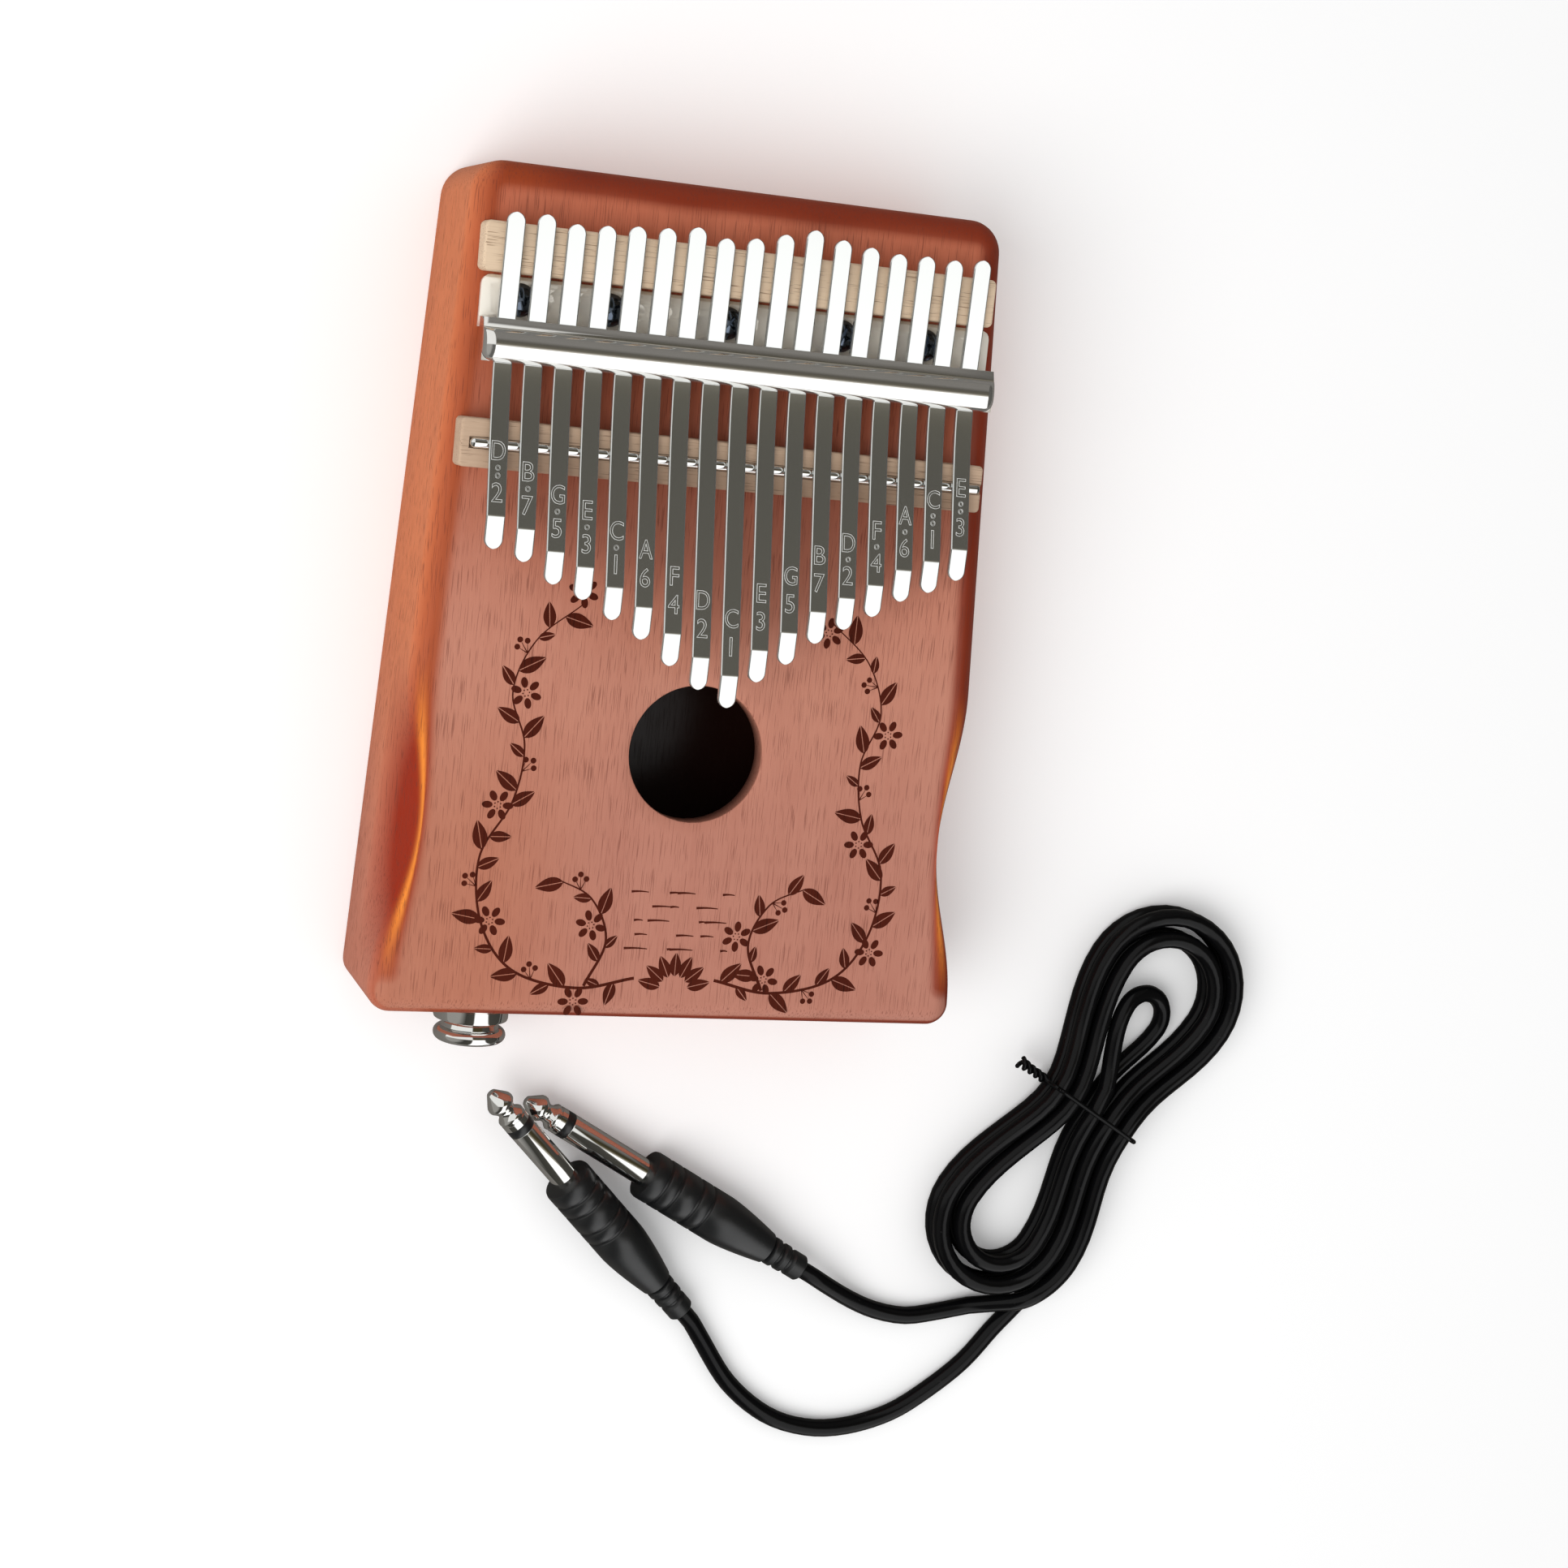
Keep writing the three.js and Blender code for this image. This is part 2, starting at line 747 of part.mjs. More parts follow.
function tineGeometry(index) {
  const radius = tine.width / 2;
  const rearY = halfLength - rearTipSetbacks[index];
  const tipY = halfLength - frontTipSetbacks[index];
  const bendY = tipY + bentTipLength;
  const endShares = [0.04, 0.2, 0.55, 1];
  const stations = endShares.map((share) => rearY - share * radius);
  stations.push(rearBridgeY + rearBridge.width / 2, rearBridgeY);
  const bendSteps = 4;
  for (let i = 1; i < bendSteps; i++) {
    stations.push(rearBridgeY + ((beadMiddleY - rearBridgeY) * i) / bendSteps);
  }
  for (let i = 0; i <= bendSteps; i++) stations.push(beadMiddleY + ((rodY - beadMiddleY) * i) / bendSteps);
  stations.push(bendY + tine.bendReach, bendY, bendY - tine.bendReach);
  stations.push(...endShares.map((share) => tipY + share * radius).reverse());
  const rings = stations.map((y) => {
    const probe = tine.bendReach / 2;
    const rise = (tineTop(y + probe, bendY) - tineTop(y - probe, bendY)) / (2 * probe);
    const halfWide = Math.min(roundEnd(rearY - y), roundEnd(y - tipY));
    return tineSection(tineX(index), y, tineTop(y, bendY), rise, halfWide);
  });
  return loft(rings);
}

// Pressure bracket

function screwPlaces() {
  return screwAfterTine.map((count) => tineX(count) - tine.pitch / 2);
}

// The bracket in side view, drawn with X forwards along +Y and Y upwards.
function bracketProfile() {
  const { sheet, beadUnderside, beadRise, lip } = bracket;
  const shape = new THREE.Shape();
  const halfBead = bracket.beadWidth / 2;
  shape.moveTo(beadRearY, 0);
  shape.lineTo(flangeRearY, 0);
  shape.lineTo(flangeRearY, sheet - lip);
  shape.lineTo(flangeRearY - lip, sheet);
  shape.lineTo(riserRearY, sheet);
  shape.lineTo(riserRearY, beadUnderside);
  for (let i = 0; i <= segments.bead; i++) {
    const angle = (Math.PI * i) / segments.bead;
    const y = beadMiddleY + halfBead * Math.cos(angle);
    shape.lineTo(y, beadUnderside + lip + (beadRise - lip) * Math.sin(angle));
  }
  shape.lineTo(beadFrontY, beadUnderside);
  shape.lineTo(beadRearY, beadUnderside);
  shape.closePath();
  return shape;
}

function extrudedAlongX(shape, lowX, highX) {
  const options = { depth: highX - lowX, bevelEnabled: false, curveSegments: segments.corner };
  const geometry = new THREE.ExtrudeGeometry(shape, options);
  return geometry.rotateX(quarter).rotateZ(quarter).translate(lowX, 0, faceZ);
}

// Rounds the two ends of the bead and the rear corners of the flange in plan.
function bracketPlan() {
  const topZ = faceZ + bracket.beadUnderside + bracket.beadRise;
  const rings = [faceZ - overrun, topZ + overrun].map((z) => roundedRectangle(
    leftEnd(bracket), rightEnd(bracket), beadFrontY - overrun, flangeRearY, bracket.cornerRadius, z,
  ));
  return loft(rings);
}

// A wedge-like cutter that rounds one end of the bead towards its lip.
function beadEndCutter(side) {
  const x = side > 0 ? rightEnd(bracket) : leftEnd(bracket);
  const shape = new THREE.Shape();
  const radius = bracket.beadEndRadius;
  const topZ = bracket.beadUnderside + bracket.beadRise;
  shape.moveTo(x + side * overrun, topZ + overrun);
  shape.lineTo(x - side * radius, topZ + overrun);
  shape.lineTo(x - side * radius, topZ);
  for (let i = 1; i <= segments.beadEnd; i++) {
    const angle = (quarter * i) / segments.beadEnd;
    shape.lineTo(x - side * radius * (1 - Math.sin(angle)), topZ - radius * (1 - Math.cos(angle)));
  }
  shape.lineTo(x + side * overrun, topZ - radius);
  shape.closePath();
  const depth = flangeRearY - beadFrontY + 2 * overrun;
  const geometry = new THREE.ExtrudeGeometry(shape, { depth, bevelEnabled: false });
  return geometry.rotateX(quarter).translate(0, flangeRearY + overrun, faceZ);
}

function pressureBracket() {
  const blank = extrudedAlongX(bracketProfile(), leftEnd(bracket), rightEnd(bracket));
  const windows = [];
  for (let i = 0; i < tineCount; i++) {
    const half = tine.width / 2 + bracket.windowClearance;
    windows.push(box(
      tineX(i) - half, tineX(i) + half, beadRearY - overrun, riserRearY,
      faceZ + bracket.sheet, faceZ + bracket.beadUnderside,
    ));
  }
  const holes = screwPlaces().map((x) => post(
    screw.shaftRadius + screw.holeClearance, x, screwY,
    faceZ - overrun, faceZ + bracket.sheet + overrun, segments.screw,
  ));
  let solid = toSolid(blank).intersect(toSolid(bracketPlan()));
  for (const tool of [...windows, ...holes, beadEndCutter(1), beadEndCutter(-1)]) {
    solid = solid.subtract(toSolid(tool));
  }
  return toGeometry(solid);
}

function bracketScrew(x) {
  const seatZ = faceZ + bracket.sheet;
  const domed = screw.headHeight - screw.rimHeight;
  const profile = [[0, -screw.length], [screw.shaftRadius, -screw.length + screw.tipLength]];
  profile.push([screw.shaftRadius, 0], [screw.headRadius, 0], [screw.headRadius, screw.rimHeight]);
  for (let i = 1; i <= segments.dome; i++) {
    const angle = (quarter * i) / segments.dome;
    profile.push([screw.headRadius * Math.cos(angle), screw.rimHeight + domed * Math.sin(angle)]);
  }
  profile[profile.length - 1][0] = 0;
  return turned(profile, segments.screw).rotateX(quarter).translate(x, screwY, seatZ);
}

// Jack

function jackCylinder(radius, lowY, highY) {
  const geometry = new THREE.CylinderGeometry(radius, radius, highY - lowY, segments.jack);
  return geometry.translate(jackX, (lowY + highY) / 2, jackZ);
}

// A ring about the jack's axis. Its outline is [radius, distance outwards from the front wall].
function jackRing(outer, boreRadius, sides = segments.jack) {
  const geometry = turned(ringProfile(outer, boreRadius), sides);
  return geometry.rotateX(Math.PI).translate(jackX, -halfLength, jackZ);
}

const barrelBore = jack.barrelRadius + jack.runningGap;

function jackCollar() {
  const edge = jack.collarEdge;
  return jackRing([
    [jack.collarRadius, 0],
    [jack.collarRadius, jack.collarLength - edge],
    [jack.collarRadius - edge, jack.collarLength],
  ], barrelBore);
}

const capStart = jack.collarLength + jack.runningGap;

function jackCap() {
  const flare = jack.capLength - jack.capNeckLength;
  const swell = jack.capRadius - jack.capNeckRadius;
  const outline = [[jack.capNeckRadius, capStart]];
  for (let i = 0; i <= segments.flare; i++) {
    const angle = -quarter + (Math.PI * i) / segments.flare;
    outline.push([
      jack.capNeckRadius + swell * Math.cos(angle),
      capStart + jack.capNeckLength + (flare * (1 + Math.sin(angle))) / 2,
    ]);
  }
  return jackRing(outline, jack.boreRadius);
}

function jackBarrel() {
  const outer = jack.collarLength;
  return jackRing([
    [jack.barrelRadius, outer - jack.barrelLength],
    [jack.barrelRadius, outer],
  ], jack.boreRadius);
}

const wallInside = -body.endWall;

function jackWasher() {
  return jackRing([
    [jack.washerRadius, wallInside - jack.washerLength - jack.runningGap],
    [jack.washerRadius, wallInside - jack.runningGap],
  ], barrelBore);
}

function jackNut() {
  const start = wallInside - jack.washerLength - 2 * jack.runningGap;
  const hexagon = new THREE.CylinderGeometry(
    jack.nutAcrossCorners / 2, jack.nutAcrossCorners / 2, jack.nutLength, hexagonSides,
  );
  const middleY = -halfLength - start + jack.nutLength / 2;
  hexagon.translate(jackX, middleY, jackZ);
  const bore = jackCylinder(barrelBore, middleY - jack.nutLength, middleY + jack.nutLength);
  return cut(hexagon, [bore]);
}

const barrelEnd = jack.collarLength - jack.barrelLength;

function jackInsulator() {
  const start = barrelEnd - jack.runningGap;
  return jackRing([
    [jackContact.insulatorRadius, start - jackContact.insulatorLength],
    [jackContact.insulatorRadius, start],
  ], jack.boreRadius);
}

// A strip on the insulator that springs down onto a plug's tip, with a solder tag on top.
// The outline is [distance inwards, height over the jack's axis].
function jackSpring() {
  const {
    stripWidth, stripThickness, stripReach, stripHeight,
    kinkReach, kinkDrop, footClearance, tagLength,
  } = jackContact;
  const startY = -halfLength - barrelEnd + jack.runningGap * 2 + jackContact.insulatorLength;
  const shape = new THREE.Shape();
  shape.moveTo(0, jack.boreRadius + footClearance);
  shape.lineTo(stripThickness, jack.boreRadius + footClearance);
  shape.lineTo(stripThickness, stripHeight);
  shape.lineTo(kinkReach, stripHeight - kinkDrop);
  shape.lineTo(stripReach, stripHeight);
  shape.lineTo(stripReach, stripHeight + stripThickness);
  shape.lineTo(kinkReach, stripHeight - kinkDrop + stripThickness);
  shape.lineTo(stripThickness, stripHeight + stripThickness);
  shape.lineTo(stripThickness, stripHeight + tagLength);
  shape.lineTo(0, stripHeight + tagLength);
  shape.closePath();
  const geometry = new THREE.ExtrudeGeometry(shape, { depth: stripWidth, bevelEnabled: false });
  geometry.rotateX(quarter).rotateZ(quarter);
  return geometry.translate(jackX - stripWidth / 2, startY, jackZ);
}

// Pickup

function piezoPlate() {
  const highZ = faceUnderside;
  return post(piezo.plateRadius, piezo.x, piezoY, highZ - piezo.plateThickness, highZ, segments.jack);
}

function piezoDisc() {
  const highZ = faceUnderside - piezo.plateThickness;
  return post(piezo.discRadius, piezo.x, piezoY, highZ - piezo.discThickness, highZ, segments.jack);
}

// A round section along a curve.
function tube(points, radius, steps, sides) {
  const curve = new THREE.CatmullRomCurve3(points);
  const shape = new THREE.Shape();
  for (let i = 0; i < sides; i++) {
    const angle = (2 * Math.PI * i) / sides;
    const [x, y] = [radius * Math.cos(angle), radius * Math.sin(angle)];
    if (i === 0) shape.moveTo(x, y);
    else shape.lineTo(x, y);
  }
  shape.closePath();
  return new THREE.ExtrudeGeometry(shape, { steps, extrudePath: curve });
}

function pickupLead() {
  const under = faceUnderside - piezo.plateThickness - piezo.discThickness;
  const startZ = under - pickupWire.radius - pickupWire.clearance;
  const jackY = -halfLength - barrelEnd + jackContact.insulatorLength;
  const tagY = jackY + jack.runningGap + pickupWire.radius + pickupWire.clearance;
  const besideX = jackX - jackContact.stripWidth - pickupWire.tagReach;
  const lowZ = backPanel.thickness + backPanel.clearance + pickupWire.floorHeight;
  const { dropLeft, dropForward, turnForward } = pickupWire;
  const points = [
    new THREE.Vector3(piezo.x + piezo.discRadius / 2, piezoY, startZ),
    new THREE.Vector3(piezo.x - piezo.discRadius / 2, piezoY, startZ),
    new THREE.Vector3(piezo.x - dropLeft, piezoY - dropForward, faceUnderside / 2),
    new THREE.Vector3(besideX, piezoY - turnForward, lowZ),
    new THREE.Vector3(besideX, jackY + jackContact.stripReach, lowZ),
    new THREE.Vector3(besideX, tagY, jackZ + jackContact.stripHeight),
  ];
  return tube(points, pickupWire.radius, segments.wireRun, segments.wire);
}

// Lead: plugs

// The parts of one plug about +Y, with the tip's nose at zero.
function plugPieces(exposed) {
  const tip = turned([
    [0, 0],
    [plug.tipNoseRadius, plug.tipNoseEnd],
    [plug.tipConeRadius, plug.tipConeEnd],
    [plug.shaftRadius, plug.tipBulgeEnd],
    [plug.tipNeckRadius, plug.tipNeckStart],
    [plug.tipNeckRadius, plug.tipNeckEnd],
    [plug.shaftRadius, plug.tipShoulder],
    [plug.shaftRadius, plug.tipLength],
    [0, plug.tipLength],
  ]);
  const ringStart = plug.tipLength + plug.joint;
  const ringEnd = ringStart + plug.insulatorLength;
  const insulator = turned([
    [0, ringStart], [plug.shaftRadius, ringStart], [plug.shaftRadius, ringEnd], [0, ringEnd],
  ]);
  const sleeveStart = ringEnd + plug.joint;
  const sleeve = turned([
    [0, sleeveStart], [plug.shaftRadius, sleeveStart], [plug.shaftRadius, exposed], [0, exposed],
  ]);
  const gripStart = exposed + plug.joint;
  const gripEnd = gripStart + plug.gripLength;
  const grip = turned(gripProfile(gripStart));
  const reliefStart = gripEnd + plug.joint;
  const relief = turned(reliefProfile(reliefStart));
  return { tip, insulator, sleeve, grip, relief, length: reliefStart + plug.reliefLength };
}

function grooved(profile, start, radiusAt, grooves, depth) {
  for (const place of grooves) {
    const middle = start + place;
    const half = plug.grooveWidth / 2;
    profile.push([radiusAt(place - half), middle - half]);
    profile.push([radiusAt(place) - depth, middle - half / 2]);
    profile.push([radiusAt(place) - depth, middle + half / 2]);
    profile.push([radiusAt(place + half), middle + half]);
  }
}

function gripProfile(start) {
  const { gripRadius, gripEdge, gripStraight, gripLength, gripEndRadius } = plug;
  const profile = [[0, start], [gripRadius - gripEdge, start], [gripRadius, start + gripEdge]];
  grooved(profile, start, () => gripRadius, gripGrooves, plug.grooveDepth);
  profile.push([gripRadius, start + gripStraight]);
  for (let i = 1; i <= segments.taper; i++) {
    const share = i / segments.taper;
    const radius = gripRadius + (gripEndRadius - gripRadius) * share ** plug.gripTaperExponent;
    profile.push([radius, start + gripStraight + (gripLength - gripStraight) * share]);
  }
  profile.push([0, start + gripLength]);
  return profile;
}

function reliefProfile(start) {
  const { reliefLength, reliefStartRadius, reliefEndRadius } = plug;
  const radiusAt = (place) => (
    reliefStartRadius + ((reliefEndRadius - reliefStartRadius) * place) / reliefLength
  );
  const profile = [[0, start], [reliefStartRadius, start]];
  grooved(profile, start, radiusAt, reliefGrooves, plug.reliefGrooveDepth);
  profile.push([reliefEndRadius, start + reliefLength], [0, start + reliefLength]);
  return profile;
}

// The direction from a plug's tip to its lead.
function plugDirection(place) {
  const level = Math.cos(place.tilt * degree);
  return new THREE.Vector3(
    level * Math.cos(place.heading * degree),
    level * Math.sin(place.heading * degree),
    -Math.sin(place.tilt * degree),
  );
}

function plugGroup(letter, place) {
  const pieces = plugPieces(place.exposed);
  const direction = plugDirection(place);
  const group = new THREE.Group();
  group.quaternion.setFromUnitVectors(new THREE.Vector3(0, 1, 0), direction);
  group.position.set(place.endX, place.endY, place.endZ).addScaledVector(direction, -pieces.length);
  group.add(part(`plug_${letter}_tip`, pieces.tip, 'chrome'));
  group.add(part(`plug_${letter}_insulator`, pieces.insulator, 'black_plastic'));
  group.add(part(`plug_${letter}_sleeve`, pieces.sleeve, 'chrome'));
  group.add(part(`plug_${letter}_grip`, pieces.grip, 'black_plastic'));
  group.add(part(`plug_${letter}_relief`, pieces.relief, 'black_rubber'));
  return group;
}

// Lead: hank

const hankAlong = new THREE.Vector3(
  Math.cos(hank.axisAngle * degree), Math.sin(hank.axisAngle * degree), 0,
);
const hankAcross = new THREE.Vector3(hankAlong.y, -hankAlong.x, 0);
const hankCentre = new THREE.Vector3(hank.centreX, hank.centreY, 0);
const tieLift = 2 * tie.radius + 2 * tie.clearance;

// A point of the hank from its places along and across it, and its layer.
function hankPoint(along, across, layer) {
  const lift = tieLift * Math.exp(-((along / tie.liftReach) ** 2));
  return hankCentre.clone()
    .addScaledVector(hankAlong, along)
    .addScaledVector(hankAcross, across)
    .setZ(cable.radius + layer * hank.layerPitch + lift);
}

// How wide a run lies from the middle line: out at the lobes and drawn in at the waist.
function runWidth(turns, along) {
  const lobe = hank.lobeRadius - hank.lobePitch * turns;
  const waist = hank.waistHalfWidth - hank.waistPitch * turns;
  const drawnIn = (1 + Math.cos((Math.PI * along) / hank.lobeReach)) / 2;
  return lobe + (waist - lobe) * drawnIn;
}

// One layer's spiral as [along, across] pairs, from the outer turn to the last run's waist.
function spiral() {
  const places = [];
  const lastWaist = 8 * hankSteps.perQuarter + hankSteps.perQuarter / 2;
  for (let step = 0; step <= lastWaist; step++) {
    const turns = step / (4 * hankSteps.perQuarter);
    const stage = Math.floor(step / hankSteps.perQuarter) % 4;
    const share = (step % hankSteps.perQuarter) / hankSteps.perQuarter;
    const radius = hank.lobeRadius - hank.lobePitch * turns;
    const run = hank.lobeReach * (2 * share - 1);
    const angle = Math.PI * share;
    if (stage === 0) places.push([run, runWidth(turns, run)]);
    if (stage === 1) places.push([hank.lobeReach + radius * Math.sin(angle), radius * Math.cos(angle)]);
    if (stage === 2) places.push([-run, -runWidth(turns, run)]);
    if (stage === 3) places.push([-hank.lobeReach - radius * Math.sin(angle), -radius * Math.cos(angle)]);
  }
  return places;
}

// The innermost turn goes round the upper lobe and comes back to the waist one layer up.
function petal(waistPlace) {
  const points = [];
  const right = hank.petalOffset + hank.petalRadius;
  const left = hank.petalOffset - hank.petalRadius;
  const legSteps = hankSteps.petalLeg;
  const arcSteps = hankSteps.petalArc;
  for (let i = 1; i <= legSteps; i++) {
    const share = i / legSteps;
    const spread = smoothStep(share ** petalSpread.exponent);
    points.push([hank.petalReach * share, waistPlace + (right - waistPlace) * spread, 0]);
  }
  for (let i = 1; i <= arcSteps; i++) {
    const angle = (Math.PI * i) / arcSteps;
    const climb = smoothStep(i / (arcSteps + 2));
    points.push([
      hank.petalReach + hank.petalRadius * Math.sin(angle),
      hank.petalOffset + hank.petalRadius * Math.cos(angle),
      climb,
    ]);
  }
  for (let i = 1; i <= legSteps; i++) {
    const share = i / (legSteps + 1);
    const climb = smoothStep((arcSteps + petalSpread.climbShare * i) / (arcSteps + 2));
    const spread = smoothStep(share * petalSpread.returnShare);
    points.push([hank.petalReach * (1 - share), left + (waistPlace - left) * spread, climb]);
  }
  return points;
}

// The last half turn: on round the lower lobe, and down to the table towards its plug.
function hankExit() {
  const points = [];
  const arc = hankSteps.exitArcDegrees * degree;
  const end = hankPlace(hank.exitX, hank.exitY);
  const arcEnd = [-hank.lobeReach - hank.lobeRadius * Math.sin(arc), hank.lobeRadius * Math.cos(arc)];
  const drop = (travelled) => 1 - smoothStep((travelled - hank.exitHold) / hank.exitDrop);
  for (let i = 1; i <= hankSteps.exitArc; i++) {
    const angle = (arc * i) / hankSteps.exitArc;
    points.push([
      -hank.lobeReach - hank.lobeRadius * Math.sin(angle),
      hank.lobeRadius * Math.cos(angle),
      drop(hank.lobeRadius * angle),
    ]);
  }
  const reach = Math.hypot(end[0] - arcEnd[0], end[1] - arcEnd[1]);
  for (const share of [exitShare, 1 - hank.straightEnd / reach, 1]) {
    points.push([
      arcEnd[0] + (end[0] - arcEnd[0]) * share,
      arcEnd[1] + (end[1] - arcEnd[1]) * share,
      drop(hank.lobeRadius * arc + reach * share),
    ]);
  }
  return points;
}

// Places along and across the hank of a point on the table.
function hankPlace(x, y) {
  const offset = new THREE.Vector3(x, y, 0).sub(hankCentre);
  return [offset.dot(hankAlong), offset.dot(hankAcross)];
}

function hankPath() {
  const entry = hankPlace(hank.entryX, hank.entryY);
  const turns = spiral();
  const first = turns[0];
  const reach = Math.hypot(first[0] - entry[0], first[1] - entry[1]);
  const places = [0, hank.straightEnd / reach, entryShare].map((share) => [
    entry[0] + (first[0] - entry[0]) * share, entry[1] + (first[1] - entry[1]) * share, 0,
  ]);
  places.push(...turns.map(([along, across]) => [along, across, 0]));
  places.push(...petal(turns[turns.length - 1][1]));
  places.push(...turns.reverse().map(([along, across]) => [along, across, 1]));
  places.push(...hankExit());
  return places.map(([along, across, layer]) => hankPoint(along, across, layer));
}

// A tube through a list of points, each ring square to the path there.
function sweep(path, radius, sides) {
  const rings = path.map((point, i) => {
    const before = path[Math.max(i - 1, 0)];
    const after = path[Math.min(i + 1, path.length - 1)];
    const heading = after.clone().sub(before).normalize();
    const sideways = new THREE.Vector3().crossVectors(heading, up).normalize();
    const upwards = new THREE.Vector3().crossVectors(sideways, heading);
    return Array.from({ length: sides }, (unused, k) => {
      const angle = (2 * Math.PI * (k + 0.5)) / sides;
      return point.clone()
        .addScaledVector(sideways, radius * Math.cos(angle))
        .addScaledVector(upwards, radius * Math.sin(angle));
    });
  });
  return loft(rings);
}

function pathLength(path) {
  let total = 0;
  for (let i = 1; i < path.length; i++) total += path[i].distanceTo(path[i - 1]);
  return total;
}

// Least gap of a swept tube to itself, on points a quarter diameter apart along its path.
function leastGap(path, radius) {
  const dense = [];
  const travelled = [];
  let total = 0;
  for (let i = 1; i < path.length; i++) {
    const length = path[i].distanceTo(path[i - 1]);
    const count = Math.ceil(length / (radius / 2));
    for (let k = 0; k < count; k++) {
      dense.push(path[i - 1].clone().lerp(path[i], k / count));
      travelled.push(total + (length * k) / count);
    }
    total += length;
  }
  let least = Infinity;
  const apart = 8 * radius;
  for (let i = 0; i < dense.length; i++) {
    for (let k = i + 1; k < dense.length; k++) {
      if (travelled[k] - travelled[i] < apart) continue;
      least = Math.min(least, dense[i].distanceTo(dense[k]) - 2 * radius);
    }
  }
  return least;
}

// Lead: free stretches and tie

function freeStretch(place, route, hankEnd, hankNext) {
  const direction = plugDirection(place);
  const end = new THREE.Vector3(place.endX, place.endY, place.endZ);
  const straight = 2 * cable.radius;
  const inward = hankNext.clone().sub(hankEnd).normalize();
  const points = [
    end.clone().addScaledVector(direction, cable.gap),
    end.clone().addScaledVector(direction, cable.gap + straight),
    ...route.map(([x, y, z]) => new THREE.Vector3(x, y, z)),
    hankEnd.clone().addScaledVector(inward, -cable.gap - straight),
    hankEnd.clone().addScaledVector(inward, -cable.gap),
  ];
  return points;
}

function stretchTube(points) {
  const curve = new THREE.CatmullRomCurve3(points);
  const steps = Math.round(curve.getLength() / (4 * cable.radius));
  return sweep(curve.getSpacedPoints(steps), cable.radius, segments.lead);
}

// The wire that ties the hank: round the waist, with both ends twisted out on the left.
function twistTie() {
  const right = runWidth(waistTurnShares.right, 0) + cable.radius + tie.clearance + tie.radius;
  const left = -runWidth(waistTurnShares.left, 0) - cable.radius - tie.clearance - tie.radius;
  const low = tie.radius;
  const high = cable.radius * 2 + hank.layerPitch + tieLift + tie.clearance + tie.radius;
  const round = tie.cornerRadius;
  const corners = [
    [left + round, high - round], [right - round, high - round],
    [right - round, low + round], [left + round, low + round],
  ];
  const places = [
    [tie.tailSpread, left - tie.tailLength, (low + high) / 2 + tie.tailSpread],
    [tie.tailSpread, left - tie.tailLength / 2, (low + high) / 2 + 2 * tie.tailSpread],
    [tie.tailSpread / 2, left - tie.radius, (low + high) / 2 + 2 * tie.tailSpread],
  ];
  const cornerSteps = 3;
  corners.forEach(([across, z], turns) => {
    for (let i = 0; i <= cornerSteps; i++) {
      const angle = quarter * (2 - turns - i / cornerSteps);
      places.push([0, across + round * Math.cos(angle), z + round * Math.sin(angle)]);
    }
  });
  places.push([-tie.tailSpread / 2, left - tie.radius, (low + high) / 2 - tie.tailSpread]);
  places.push([-tie.tailSpread, left - tie.tailLength / 2, (low + high) / 2 - tie.tailSpread]);
  places.push([-tie.tailSpread, left - tie.tailLength, (low + high) / 2 - 2 * tie.tailSpread]);
  const path = places.map(([along, across, z]) => hankCentre.clone()
    .addScaledVector(hankAlong, along)
    .addScaledVector(hankAcross, across)
    .setZ(z));
  return wireSweep(path, tie.radius, segments.tie);
}

// A thin tube in the plane across the hank.
function wireSweep(path, radius, sides) {
  const rings = path.map((point, i) => {
    const before = path[Math.max(i - 1, 0)];
    const after = path[Math.min(i + 1, path.length - 1)];
    const heading = after.clone().sub(before).normalize();
    const sideways = hankAlong.clone().addScaledVector(heading, -hankAlong.dot(heading)).normalize();
    const other = new THREE.Vector3().crossVectors(heading, sideways);
    return Array.from({ length: sides }, (unused, k) => {
      const angle = (2 * Math.PI * k) / sides;
      return point.clone()
        .addScaledVector(sideways, radius * Math.cos(angle))
        .addScaledVector(other, radius * Math.sin(angle));
    });
  });
  return loft(rings);
}

// Assembly

const mbira = new THREE.Group();
mbira.add(part('body_shell', bodyShell(), 'mahogany'));
mbira.add(part('back_panel', backCover(), 'mahogany'));
mbira.add(part('bridge_block', innerBlock(), 'pine'));
mbira.add(part('rear_bridge', bridgeBar(rearBridge, rearBridgeY), 'beech'));
mbira.add(part('front_bridge', groovedBridge(), 'beech'));
mbira.add(part('bridge_rod', bridgeRod(), 'chrome'));
mbira.add(part('pressure_bracket', pressureBracket(), 'chrome'));
screwPlaces().forEach((x, i) => mbira.add(part(`bracket_screw_${i + 1}`, bracketScrew(x), 'chrome')));
for (let i = 0; i < tineCount; i++) {
  const number = String(i + 1).padStart(2, '0');
  mbira.add(part(`tine_${number}`, tineGeometry(i), 'spring_steel'));
}
mbira.add(part('jack_barrel', jackBarrel(), 'chrome'));
mbira.add(part('jack_collar', jackCollar(), 'chrome'));
mbira.add(part('jack_cap', jackCap(), 'chrome'));
mbira.add(part('jack_washer', jackWasher(), 'chrome'));
mbira.add(part('jack_nut', jackNut(), 'chrome'));
mbira.add(part('jack_insulator', jackInsulator(), 'black_plastic'));
mbira.add(part('jack_contact', jackSpring(), 'brass'));
mbira.add(part('piezo_plate', piezoPlate(), 'brass'));
mbira.add(part('piezo_disc', piezoDisc(), 'ceramic'));
mbira.add(part('pickup_wire', pickupLead(), 'black_rubber'));

